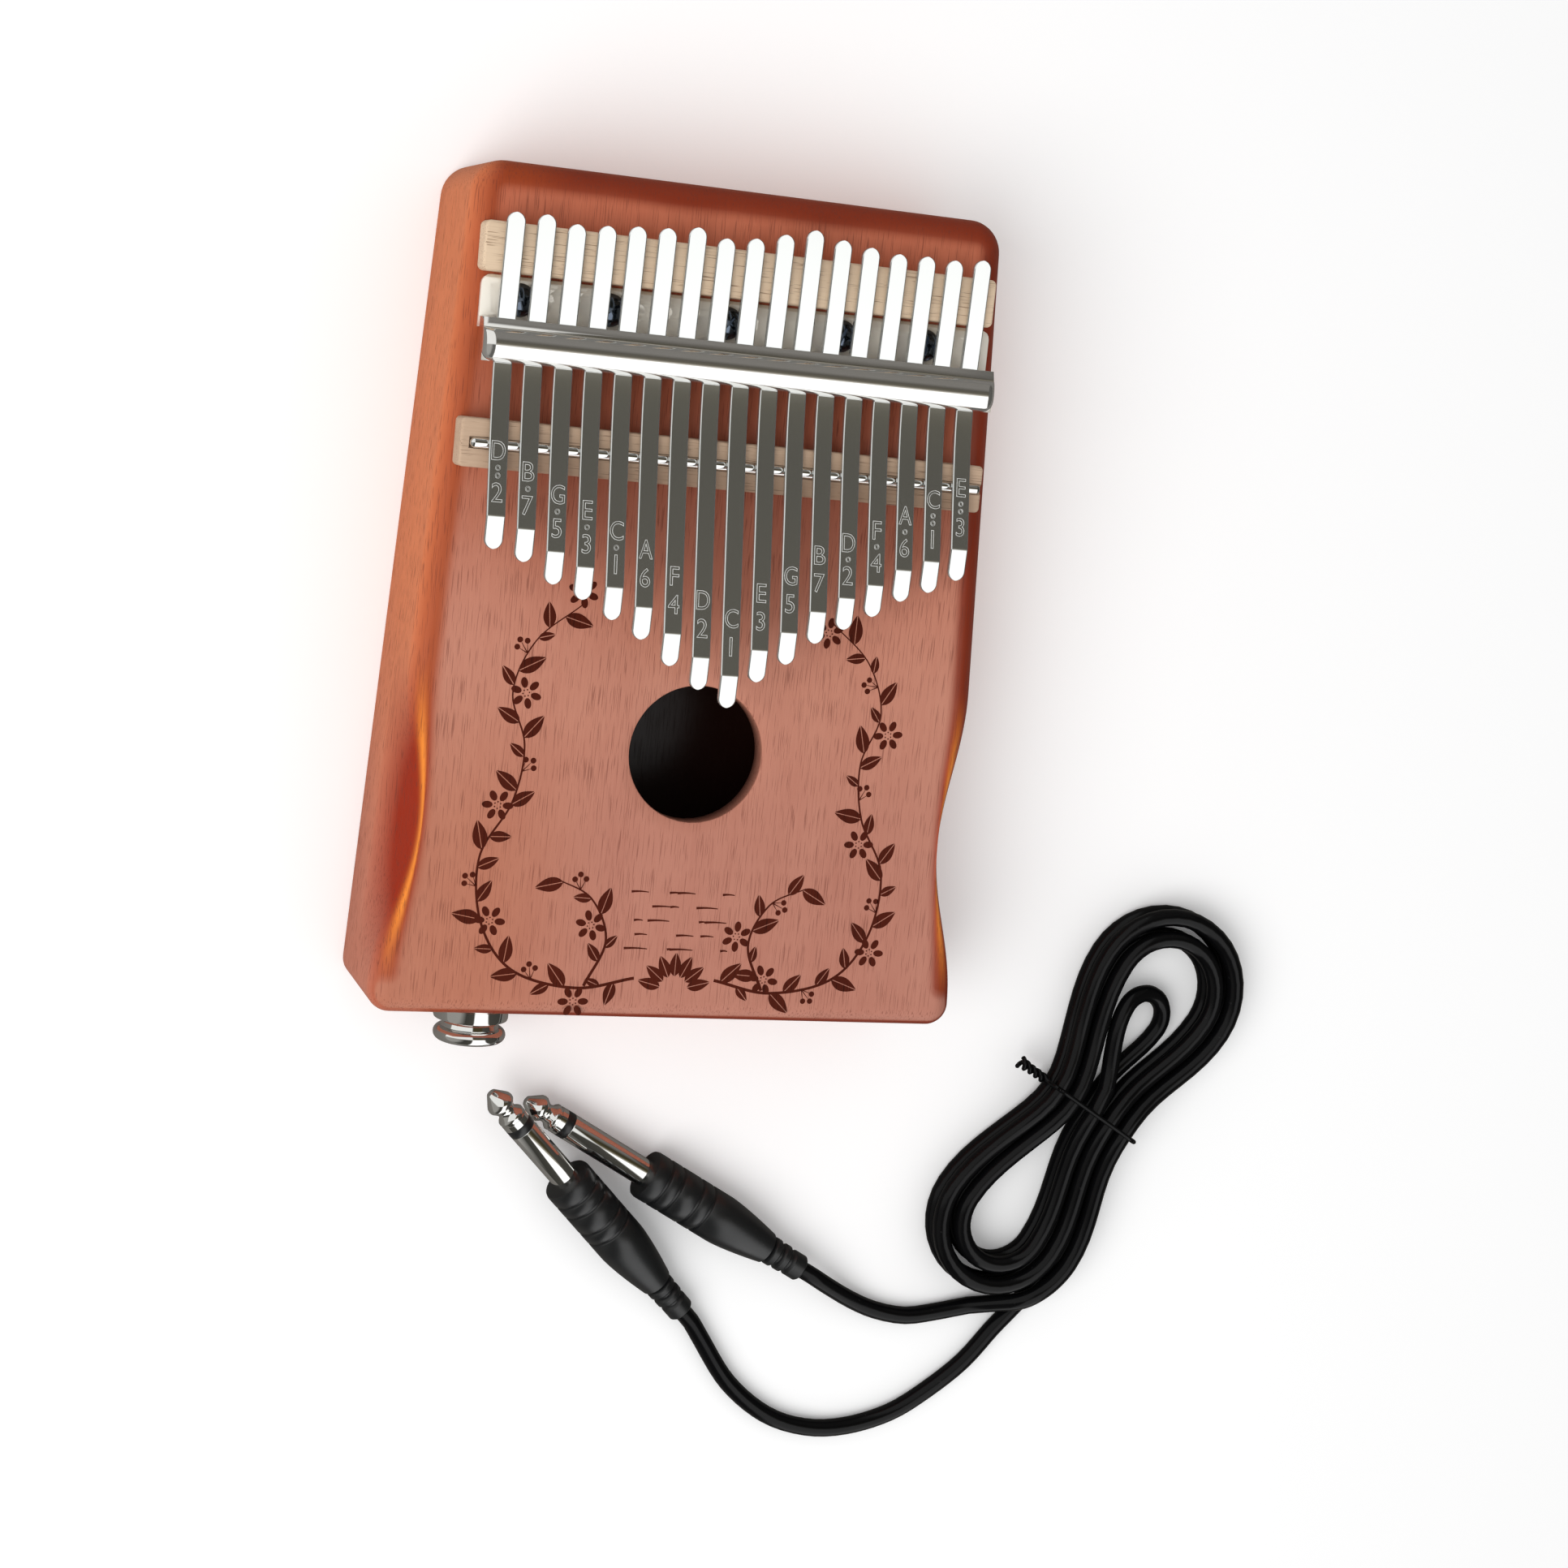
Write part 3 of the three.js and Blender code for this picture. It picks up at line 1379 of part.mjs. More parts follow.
mbira.add(plugGroup('a', plugA));
mbira.add(plugGroup('b', plugB));
const coil = hankPath();
const stretchA = freeStretch(plugA, routeA, coil[0], coil[1]);
const stretchB = freeStretch(plugB, routeB, coil[coil.length - 1], coil[coil.length - 2]);
mbira.add(part('cable_stretch_a', stretchTube(stretchA), 'black_rubber'));
mbira.add(part('cable_hank', sweep(coil, cable.radius, hankSteps.sides), 'black_rubber'));
mbira.add(part('cable_stretch_b', stretchTube(stretchB), 'black_rubber'));
mbira.add(part('twist_tie', twistTie(), 'black_plastic'));

const lead = pathLength(coil) + pathLength(stretchA) + pathLength(stretchB);
console.log(`hank least gap ${leastGap(coil, cable.radius).toFixed(2)} mm`);
console.log(`lead length ${lead.toFixed(0)} mm, hank ${pathLength(coil).toFixed(0)} mm`);

export default mbira;
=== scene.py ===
"""Visual model of a seventeen-tine thumb piano and its instrument lead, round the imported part.

Shapes are drawn in millimetres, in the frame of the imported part, and turned to metres once
each mesh is done: +X right, +Y towards the rear bridge, +Z out of the face.
"""

import logging
import math
from dataclasses import dataclass, field
from enum import Enum
from functools import cache
from typing import Optional, Sequence

import bmesh
import bpy
from mathutils import Matrix, Vector


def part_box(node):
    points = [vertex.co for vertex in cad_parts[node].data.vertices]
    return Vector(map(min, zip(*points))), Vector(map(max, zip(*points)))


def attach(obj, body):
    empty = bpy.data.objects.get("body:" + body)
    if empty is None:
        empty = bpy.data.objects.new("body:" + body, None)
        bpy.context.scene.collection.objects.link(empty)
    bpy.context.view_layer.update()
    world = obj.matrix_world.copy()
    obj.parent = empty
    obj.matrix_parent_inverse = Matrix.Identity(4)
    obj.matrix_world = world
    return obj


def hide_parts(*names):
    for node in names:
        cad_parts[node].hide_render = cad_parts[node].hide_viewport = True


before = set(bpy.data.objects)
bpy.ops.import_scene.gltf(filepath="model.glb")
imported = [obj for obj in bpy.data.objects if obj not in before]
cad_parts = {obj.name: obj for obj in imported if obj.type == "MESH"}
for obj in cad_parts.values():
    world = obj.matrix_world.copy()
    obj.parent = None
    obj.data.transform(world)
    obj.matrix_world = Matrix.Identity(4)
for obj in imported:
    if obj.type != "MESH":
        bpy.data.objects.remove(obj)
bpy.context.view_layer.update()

LOG = logging.getLogger("thumb_piano")
MM = 0.001
QUARTER = math.pi / 2
# Points nearer than this many millimetres merge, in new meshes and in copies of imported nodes.
MERGE_REACH = 0.0005
COPY_MERGE_REACH = 0.002
# In a copy, faces that meet under the first angle become one, and edges over the second are eased.
FLAT_ANGLE = math.radians(0.5)
EASED_ANGLE = math.radians(40)

Colour = tuple[float, float, float]
Place = tuple[float, float, float]
Flat = tuple[float, float]
Span = tuple[float, float]
Socket = bpy.types.NodeSocket
Given = dict[str | int, object]


def srgb(red: int, green: int, blue: int) -> Colour:
    """Makes a display colour linear.

    Args:
        red: The red from 0 to 255.
        green: The green.
        blue: The blue.

    Returns:
        The linear colour.
    """

    def linear(value: int) -> float:
        """Returns one channel made linear."""
        share = value / 255
        return share / 12.92 if share <= 0.04045 else ((share + 0.055) / 1.055) ** 2.4

    return linear(red), linear(green), linear(blue)


def grey(value: float) -> Colour:
    """Returns a linear grey."""
    return value, value, value


def ease(value: float) -> float:
    """Returns a smooth step from 0 to 1."""
    share = min(max(value, 0.0), 1.0)
    return share * share * (3 - 2 * share)


def lerp(start: float, end: float, share: float) -> float:
    """Returns the value that lies a share of the way from start to end."""
    return start + (end - start) * share


def polar(x: float, y: float, reach: float, angle: float) -> Flat:
    """Returns the place at a distance and an angle from another."""
    return x + reach * math.cos(angle), y + reach * math.sin(angle)


def arc(x: float, y: float, radius: float, start: float, end: float, steps: int) -> list[Flat]:
    """Returns places round a centre from one angle to another, both ends included."""
    return [polar(x, y, radius, lerp(start, end, step / steps)) for step in range(steps + 1)]


def quarter(steps: int) -> list[Flat]:
    """Returns how far a quarter round has risen, and how far it has come in, at even steps."""
    angles = [QUARTER * step / steps for step in range(steps + 1)]
    return [(math.sin(angle), 1 - math.cos(angle)) for angle in angles]


def node_box(name: str) -> tuple[Vector, Vector]:
    """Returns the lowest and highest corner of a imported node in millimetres."""
    low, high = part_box(name)
    return low / MM, high / MM


# Node trees


def spaced(given: dict[str, object]) -> dict[str, object]:
    """Returns values by input name, with a space for each _."""
    return {name.replace("_", " "): value for name, value in given.items()}


class Graph:
    """Adds nodes to a node tree. Each input is given an output socket or a plain value."""

    def __init__(self, tree: bpy.types.NodeTree) -> None:
        """Keeps the tree that nodes are added to."""
        self.tree = tree

    def fill(self, node: bpy.types.Node, given: Given) -> None:
        """Links or sets a node's inputs, by their names or numbers.

        Args:
            node: The node.
            given: What its inputs get, by name or number.
        """
        for key, source in given.items():
            socket = node.inputs[key]
            if isinstance(source, Socket):
                self.tree.links.new(source, socket)
            else:
                socket.default_value = (*source, 1.0) if socket.type == "RGBA" else source

    def add(self, kind: str, given: Optional[Given] = None, **settings: object) -> bpy.types.Node:
        """Adds a node of a kind.

        Args:
            kind: The node's type name.
            given: What its inputs get, by name or number.
            settings: Properties to set on it.

        Returns:
            The new node.
        """
        node = self.tree.nodes.new(kind)
        for name, value in settings.items():
            setattr(node, name, value)
        self.fill(node, given or {})
        return node

    def maths(self, operation: str, *values: object, clamp: bool = False) -> Socket:
        """Returns the result of an operation on two or three inputs, kept from 0 to 1 by clamp."""
        given = dict(enumerate(values))
        return self.add("ShaderNodeMath", given, operation=operation, use_clamp=clamp).outputs[0]

    def step(self, value: Socket, start: float, end: float) -> Socket:
        """Returns a smooth step of a value, from 0 at the start to 1 at the end."""
        given = {"Value": value, "From Min": start, "From Max": end}
        return self.add("ShaderNodeMapRange", given, interpolation_type="SMOOTHSTEP").outputs["Result"]

    def blend(self, share: object, first: object, second: object, mode: str = "MIX") -> Socket:
        """Returns a mix of two colours, with a share of the second by a blend mode."""
        given = {0: share, 6: first, 7: second}
        return self.add("ShaderNodeMix", given, data_type="RGBA", blend_type=mode).outputs[2]

    def ramp(self, value: Socket, stops: Sequence[tuple[float, Colour]]) -> Socket:
        """Adds a colour ramp.

        Args:
            value: The value's socket.
            stops: Places from 0 to 1 with their colours.

        Returns:
            The ramp's colour.
        """
        node = self.add("ShaderNodeValToRGB", {0: value})
        elements = node.color_ramp.elements
        while len(elements) < len(stops):
            elements.new(1.0)
        for element, (place, colour) in zip(elements, stops):
            element.position = place
            element.color = (*colour, 1.0)
        return node.outputs[0]

    def noise(self, vector: Socket, stretch: Place, detail: float = 2.0, rough: float = 0.5) -> Socket:
        """Adds a noise on a stretched place.

        Args:
            vector: The place's socket.
            stretch: Features a metre along each axis.
            detail: The noise's detail.
            rough: The noise's roughness.

        Returns:
            The noise's value.
        """
        scaled = self.add("ShaderNodeMapping", {"Vector": vector, "Scale": stretch}).outputs[0]
        given = {"Vector": scaled, "Scale": 1.0, "Detail": detail, "Roughness": rough}
        return self.add("ShaderNodeTexNoise", given).outputs["Fac"]

    def group(self, tree: bpy.types.NodeTree, **given: object) -> bpy.types.NodeOutputs:
        """Returns the outputs of a node group that is placed with its own values."""
        return self.add("ShaderNodeGroup", spaced(given), node_tree=tree).outputs

    def bump(self, height: Socket, strength: float, depth: float) -> Socket:
        """Returns the normal that a height bends, by a strength and a depth in metres."""
        given = {"Height": height, "Strength": strength, "Distance": depth}
        return self.add("ShaderNodeBump", given).outputs["Normal"]

    def axes(self, place: Socket) -> tuple[Socket, ...]:
        """Returns a place's distances along X, Y and Z."""
        return tuple(self.add("ShaderNodeSeparateXYZ", {0: place}).outputs)


class Effect(Graph):
    """A node group that takes a place and some numbers, and gives numbers."""

    def __init__(self, name: str, numbers: dict[str, float], results: Sequence[str]) -> None:
        """Starts the group.

        Args:
            name: The group's name.
            numbers: Default values by input name.
            results: The outputs' names.
        """
        super().__init__(bpy.data.node_groups.new(name, "ShaderNodeTree"))
        new_socket = self.tree.interface.new_socket
        new_socket("Place", in_out="INPUT", socket_type="NodeSocketVector")
        for label, value in numbers.items():
            new_socket(label, in_out="INPUT", socket_type="NodeSocketFloat").default_value = value
        for label in results:
            new_socket(label, in_out="OUTPUT", socket_type="NodeSocketFloat")
        self.given = self.add("NodeGroupInput").outputs

    def close(self, **results: Socket) -> bpy.types.NodeTree:
        """Links the results to the group's outputs, and returns its tree."""
        self.add("NodeGroupOutput", results)
        return self.tree


class Effects:
    """Shared effects, each a node group that is built once."""

    @staticmethod
    @cache
    def wood() -> bpy.types.NodeTree:
        """Returns the wood effect: long fibres, broad ribbons and short open pores along Y."""
        graph = Effect("wood_figure", {"Pore Cover": 0.5, "Ribbon": 0.5}, ("Tone", "Pores", "Height"))
        place, maths = graph.given["Place"], graph.maths
        fibre = graph.noise(place, (3600.0, 42.0, 900.0), 3.0, 0.6)
        ribbon = graph.noise(place, (75.0, 5.0, 60.0), 3.0, 0.55)
        mottle = graph.noise(place, (130.0, 75.0, 110.0))
        pore = graph.noise(place, (5400.0, 130.0, 3000.0), 1.0)
        patch = graph.noise(place, (90.0, 26.0, 80.0))
        limit = maths("MULTIPLY_ADD", graph.given["Pore Cover"], -0.22, 0.80)
        limit = maths("MULTIPLY_ADD", patch, -0.12, limit)
        pores = maths("MULTIPLY", maths("SUBTRACT", pore, limit), 16.0, clamp=True)
        fine = maths("MULTIPLY_ADD", fibre, 0.5, -0.25)
        broad = maths("MULTIPLY", maths("SUBTRACT", ribbon, 0.5), graph.given["Ribbon"])
        soft = maths("MULTIPLY_ADD", mottle, 0.3, -0.15)
        tone = maths("ADD", maths("ADD", fine, broad), maths("ADD", soft, 0.5), clamp=True)
        height = maths("SUBTRACT", maths("MULTIPLY", fibre, 0.25), pores)
        return graph.close(Tone=tone, Pores=pores, Height=height)

    @staticmethod
    @cache
    def handling() -> bpy.types.NodeTree:
        """Returns the handling effect: faint smudges and fine specks on a finished surface."""
        numbers = {"Smudge": 0.1, "Base Roughness": 0.2}
        graph = Effect("handling", numbers, ("Roughness", "Specks", "Height"))
        place = graph.given["Place"]
        cloud = graph.noise(place, grey(85.0), 4.0, 0.6)
        grains = graph.noise(place, grey(5200.0), 1.0)
        specks = graph.step(graph.noise(place, grey(950.0), 1.0), 0.74, 0.80)
        spread = graph.maths("MULTIPLY", graph.maths("SUBTRACT", cloud, 0.42), graph.given["Smudge"])
        rough = graph.maths("ADD", spread, graph.given["Base Roughness"], clamp=True)
        return graph.close(Roughness=rough, Specks=specks, Height=grains)


class Surface(Graph):
    """The node tree of a new material, with its shader and its object coordinates."""

    def __init__(self, name: str) -> None:
        """Starts a material with a plain shader.

        Args:
            name: The material's name.
        """
        self.material = bpy.data.materials.new(name)
        self.material.use_nodes = True
        super().__init__(self.material.node_tree)
        self.shader = self.tree.nodes["Principled BSDF"]
        self.place = self.add("ShaderNodeTexCoord").outputs["Object"]

    def shade(self, **given: object) -> None:
        """Gives the shader's inputs what they get, with _ for a space in a name."""
        self.fill(self.shader, spaced(given))

    def handled(self, smudge: float, roughness: float) -> bpy.types.NodeOutputs:
        """Returns what the handling effect makes of a smudge and a roughness."""
        return self.group(Effects.handling(), Place=self.place, Smudge=smudge, Base_Roughness=roughness)


# Finishes


@dataclass(frozen=True)
class StainedMahogany:
    """Open-pored mahogany under a satin lacquer, stained darker towards its edges.

    The spans say where a change starts and ends along an axis, in metres.
    """

    name: str = "stained_mahogany"
    face: Colour = srgb(207, 145, 122)
    face_dark: Colour = srgb(180, 113, 93)
    low_y: Span = (-0.005, -0.06)
    low_tint: Colour = (0.87, 0.85, 0.88)
    left_x: Span = (-0.012, -0.045)
    left_tint: Colour = (0.98, 0.88, 0.76)
    rear: Colour = srgb(200, 106, 70)
    rear_dark: Colour = srgb(178, 84, 52)
    rear_y: Span = (-0.02, 0.062)
    rear_cover: float = 0.75
    rim: Colour = srgb(138, 50, 24)
    rim_left: Colour = srgb(162, 68, 32)
    rim_x: Span = (-0.052, -0.035)
    rim_z: Span = (0.026, 0.0335)
    wall: Colour = srgb(234, 138, 92)
    wall_front: Colour = srgb(206, 128, 104)
    wall_y: Span = (-0.07, 0.01)
    left_wall_x: Span = (-0.050, -0.056)
    left_wall_rise: float = -0.0035
    fibre_tint: Colour = (0.80, 0.72, 0.66)
    # Painted shade: the dark red that the hand rests' hollows take.
    rest: Colour = srgb(158, 44, 14)
    # Painted highlight: the amber band over the hand rests' rounded face edge.
    glow: Colour = srgb(246, 146, 56)
    # Painted shade: the near-black colour of the box's inside.
    inside: Colour = srgb(34, 15, 10)
    pore: Colour = srgb(104, 50, 38)
    pore_cover: float = 0.48
    edge: Span = (0.12, 0.86)
    edge_uneven: float = 0.35
    roughness: float = 0.36
    lacquer: float = 0.1
    density: float = 1.28
    # Painted shade: wood above this height in metres takes the inside colour.
    painted_shade_above: float = 1.0

    def dress(self, surface: Surface) -> None:
        """Draws the stained wood, with painted shade and a painted highlight, by four attributes of the box's
        points.

        Args:
            surface: The node tree of the finish's material.
        """
        blend, step, maths, place = surface.blend, surface.step, surface.maths, surface.place
        wood = surface.group(Effects.wood(), Place=place, Pore_Cover=0.66, Ribbon=0.45)
        tone, pores = wood["Tone"], wood["Pores"]
        x, y, z = surface.axes(place)
        stain, shade, glow, inside = (
            surface.add("ShaderNodeAttribute", attribute_name=name).outputs["Fac"]
            for name in ("edge_stain", "rest_shade", "rest_glow", "box_inside")
        )
        low = step(y, *self.low_y)
        middle = blend(low, blend(tone, self.face_dark, self.face), self.low_tint, "MULTIPLY")
        left = maths("MULTIPLY", low, step(x, *self.left_x))
        middle = blend(left, middle, self.left_tint, "MULTIPLY")
        rearward = maths("MULTIPLY", step(y, *self.rear_y), self.rear_cover)
        middle = blend(rearward, middle, blend(tone, self.rear_dark, self.rear))
        rim = blend(step(x, *self.rim_x), self.rim_left, self.rim)
        wall = blend(step(y, *self.wall_y), self.wall_front, self.wall)
        height = maths("MULTIPLY_ADD", step(x, *self.left_wall_x), self.left_wall_rise, z)
        side = blend(step(height, *self.rim_z), wall, rim)
        # Painted shade darkens the hand rests to the rest colour, and a painted highlight band over their
        # rounded edge takes the glow colour.
        side = blend(glow, blend(shade, side, self.rest), self.glow)
        side = blend(tone, blend(1.0, side, self.fibre_tint, "MULTIPLY"), side)
        uneven = maths("SUBTRACT", surface.noise(place, (38.0, 22.0, 30.0)), 0.5)
        edge = maths("MULTIPLY_ADD", uneven, self.edge_uneven, stain)
        stained = blend(step(edge, *self.edge), middle, side)
        stained = blend(maths("MULTIPLY", pores, self.pore_cover), stained, self.pore)
        # Painted shade: the box's inside, and wood above a height, take the inside colour.
        above = step(z, self.painted_shade_above, self.painted_shade_above + 0.0004)
        handled = surface.handled(0.16, self.roughness)
        surface.shade(
            Base_Color=blend(maths("MAXIMUM", inside, above), stained, self.inside),
            Roughness=maths("MULTIPLY_ADD", pores, 0.2, handled["Roughness"]),
            IOR=self.density,
            Coat_Weight=self.lacquer,
            Coat_Roughness=0.22,
            Normal=surface.bump(wood["Height"], 0.3, 0.00006),
        )


@dataclass(frozen=True)
class PlainWood:
    """Sawn wood with no stain."""

    name: str
    light: Colour
    dark: Colour
    pore: Colour
    along_x: bool = True
    roughness: float = 0.62
    gloss: float = 0.5
    pore_cover: float = 0.72

    def dress(self, surface: Surface) -> None:
        """Draws the wood along its own axis.

        Args:
            surface: The node tree of the finish's material.
        """
        turn = (0.0, 0.0, QUARTER if self.along_x else 0.0)
        turned = surface.add("ShaderNodeMapping", {"Vector": surface.place, "Rotation": turn}).outputs[0]
        wood = surface.group(Effects.wood(), Place=turned, Pore_Cover=0.5, Ribbon=0.9)
        colour = surface.blend(wood["Tone"], self.dark, self.light)
        cover = surface.maths("MULTIPLY", wood["Pores"], self.pore_cover)
        surface.shade(
            Base_Color=surface.blend(cover, colour, self.pore),
            Roughness=surface.handled(0.1, self.roughness)["Roughness"],
            Specular_IOR_Level=self.gloss,
            Normal=surface.bump(wood["Height"], 0.4, 0.00008),
        )


@dataclass(frozen=True)
class BrightMetal:
    """Plated or polished metal with faint smudges, and drawn lines where it was rolled."""

    name: str
    light: Colour
    dark: Colour
    roughness: float = 0.06
    smudge: float = 0.08
    drawn: float = 0.0
    metallic: float = 1.0

    def dress(self, surface: Surface) -> None:
        """Draws the metal.

        Args:
            surface: The node tree of the finish's material.
        """
        handled = surface.handled(self.smudge, self.roughness)
        cloud = surface.noise(surface.place, grey(55.0), 3.0, 0.55)
        colour = surface.blend(cloud, self.dark, self.light)
        speck = surface.maths("MULTIPLY", handled["Specks"], 0.25)
        colour = surface.blend(speck, colour, self.dark)
        surface.shade(Base_Color=colour, Roughness=handled["Roughness"], Metallic=self.metallic)
        if self.drawn > 0:
            lines = surface.noise(surface.place, (2600.0, 30.0, 2600.0), 2.0, 0.6)
            surface.shade(Normal=surface.bump(lines, self.drawn, 0.00001))


@dataclass(frozen=True)
class PlateWithPaintedFlange(BrightMetal):
    """Bright plating, with a painted reflection on the low flange: a warm cream that is hardly metallic."""

    # Painted reflection: the warm cream that the flange shows between the tines.
    flange: Colour = (0.95, 0.90, 0.80)
    flange_z: Span = (0.0378, 0.0375)
    flange_metallic: float = 0.15

    def dress(self, surface: Surface) -> None:
        """Draws the plating, and the flange's painted reflection over it.

        Args:
            surface: The node tree of the finish's material.
        """
        super().dress(surface)
        low = surface.step(surface.axes(surface.place)[2], *self.flange_z)
        colour = surface.shader.inputs["Base Color"].links[0].from_socket
        change = self.flange_metallic - self.metallic
        surface.shade(
            Base_Color=surface.blend(low, colour, self.flange),
            Metallic=surface.maths("MULTIPLY_ADD", low, change, self.metallic),
        )


@dataclass(frozen=True)
class Moulded:
    """Moulded or drawn plastic, rubber, lacquer or ceramic with a fine grain."""

    name: str
    light: Colour
    dark: Colour
    roughness: float = 0.4
    grain: float = 0.2
    gloss: float = 0.4
    speck: Colour = srgb(120, 120, 118)
    speck_cover: float = 0.08

    def dress(self, surface: Surface) -> None:
        """Draws the surface.

        Args:
            surface: The node tree of the finish's material.
        """
        handled = surface.handled(0.25, self.roughness)
        cloud = surface.noise(surface.place, grey(140.0), 3.0, 0.6)
        colour = surface.blend(cloud, self.dark, self.light)
        speck = surface.maths("MULTIPLY", handled["Specks"], self.speck_cover)
        surface.shade(
            Base_Color=surface.blend(speck, colour, self.speck),
            Roughness=handled["Roughness"],
            Specular_IOR_Level=self.gloss,
            Normal=surface.bump(handled["Height"], self.grain, 0.00003),
        )


class Finish(Enum):
    """The finishes that pieces are given by name."""

    MAHOGANY = StainedMahogany()
    # Painted shade: the back panel's face inside the box is drawn near black.
    BOARD = StainedMahogany("back_mahogany", painted_shade_above=0.0024)
    BEECH = PlainWood("raw_beech", srgb(236, 212, 182), srgb(204, 174, 144), srgb(128, 92, 66))
    # The front bar's beech, darker than the rear bar's.
    DARKER_BEECH = PlainWood("darker_beech", srgb(208, 180, 154), srgb(176, 146, 120), srgb(120, 92, 72))
    BLOCK = PlainWood("block_wood", srgb(190, 150, 108), srgb(160, 118, 80), srgb(96, 66, 42))
    BURNT = PlainWood("burnt_line", srgb(88, 32, 18), srgb(62, 20, 11), srgb(40, 13, 8), False, 0.8, 0.12)
    CHROME = BrightMetal("bright_chrome", (0.83, 0.83, 0.82), (0.74, 0.74, 0.72))
    # The bracket's flange takes a painted reflection.
    PLATE = PlateWithPaintedFlange("plated_bracket", (0.83, 0.82, 0.80), (0.76, 0.75, 0.72), metallic=0.92)
    # Painted shade: chrome screw heads drawn dark blue-black, as they look in the shade under the tines.
    SHADED_SCREW = BrightMetal("screw_painted_shade", (0.16, 0.19, 0.24), (0.06, 0.08, 0.11), 0.15)
    TINE = BrightMetal("tine_steel", (0.84, 0.84, 0.82), (0.76, 0.76, 0.73), 0.05, 0.07, 0.12)
    STAMP = Moulded("stamped_lines", srgb(250, 250, 248), srgb(228, 228, 224), 0.3, 0.1)
    BRASS = BrightMetal("brass", srgb(214, 178, 106), srgb(170, 132, 70), 0.3, 0.2)
    CERAMIC = Moulded("silvered_ceramic", srgb(214, 210, 200), srgb(188, 184, 174), 0.5, 0.1)
    PLASTIC = Moulded("moulded_black", srgb(26, 27, 28), srgb(16, 17, 18), 0.34, 0.22, 0.55)
    CABLE = Moulded("cable_black", srgb(13, 13, 14), srgb(7, 7, 8), 0.16, 0.1, 0.16, speck_cover=0.04)

    @property
    def material(self) -> bpy.types.Material:
        """The finish's material, made when it is first asked for."""
        made = bpy.data.materials.get(self.value.name)
        if made is None:
            surface = Surface(self.value.name)
            self.value.dress(surface)
            made = surface.material
        return made


# Meshes


def link(name: str, data: bpy.types.ID) -> bpy.types.Object:
    """Returns a new object of some data, in the scene."""
    made = bpy.data.objects.new(name, data)
    bpy.context.scene.collection.objects.link(made)
    return made


def evaluated(made: bpy.types.Object) -> bpy.types.Mesh:
    """Returns a new mesh of an object as its modifiers leave it."""
    bpy.context.view_layer.update()
    graph = bpy.context.evaluated_depsgraph_get()
    return bpy.data.meshes.new_from_object(made.evaluated_get(graph), depsgraph=graph)


def mount(piece: bpy.types.Object, body: str, slot: str, finish: Finish, replaced: Sequence[str]) -> None:
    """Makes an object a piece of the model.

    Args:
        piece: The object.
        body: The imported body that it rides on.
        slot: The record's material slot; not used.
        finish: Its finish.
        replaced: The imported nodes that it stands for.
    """
    piece.data.materials.append(finish.material)
    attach(piece, body)
    if replaced:
        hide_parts(*replaced)


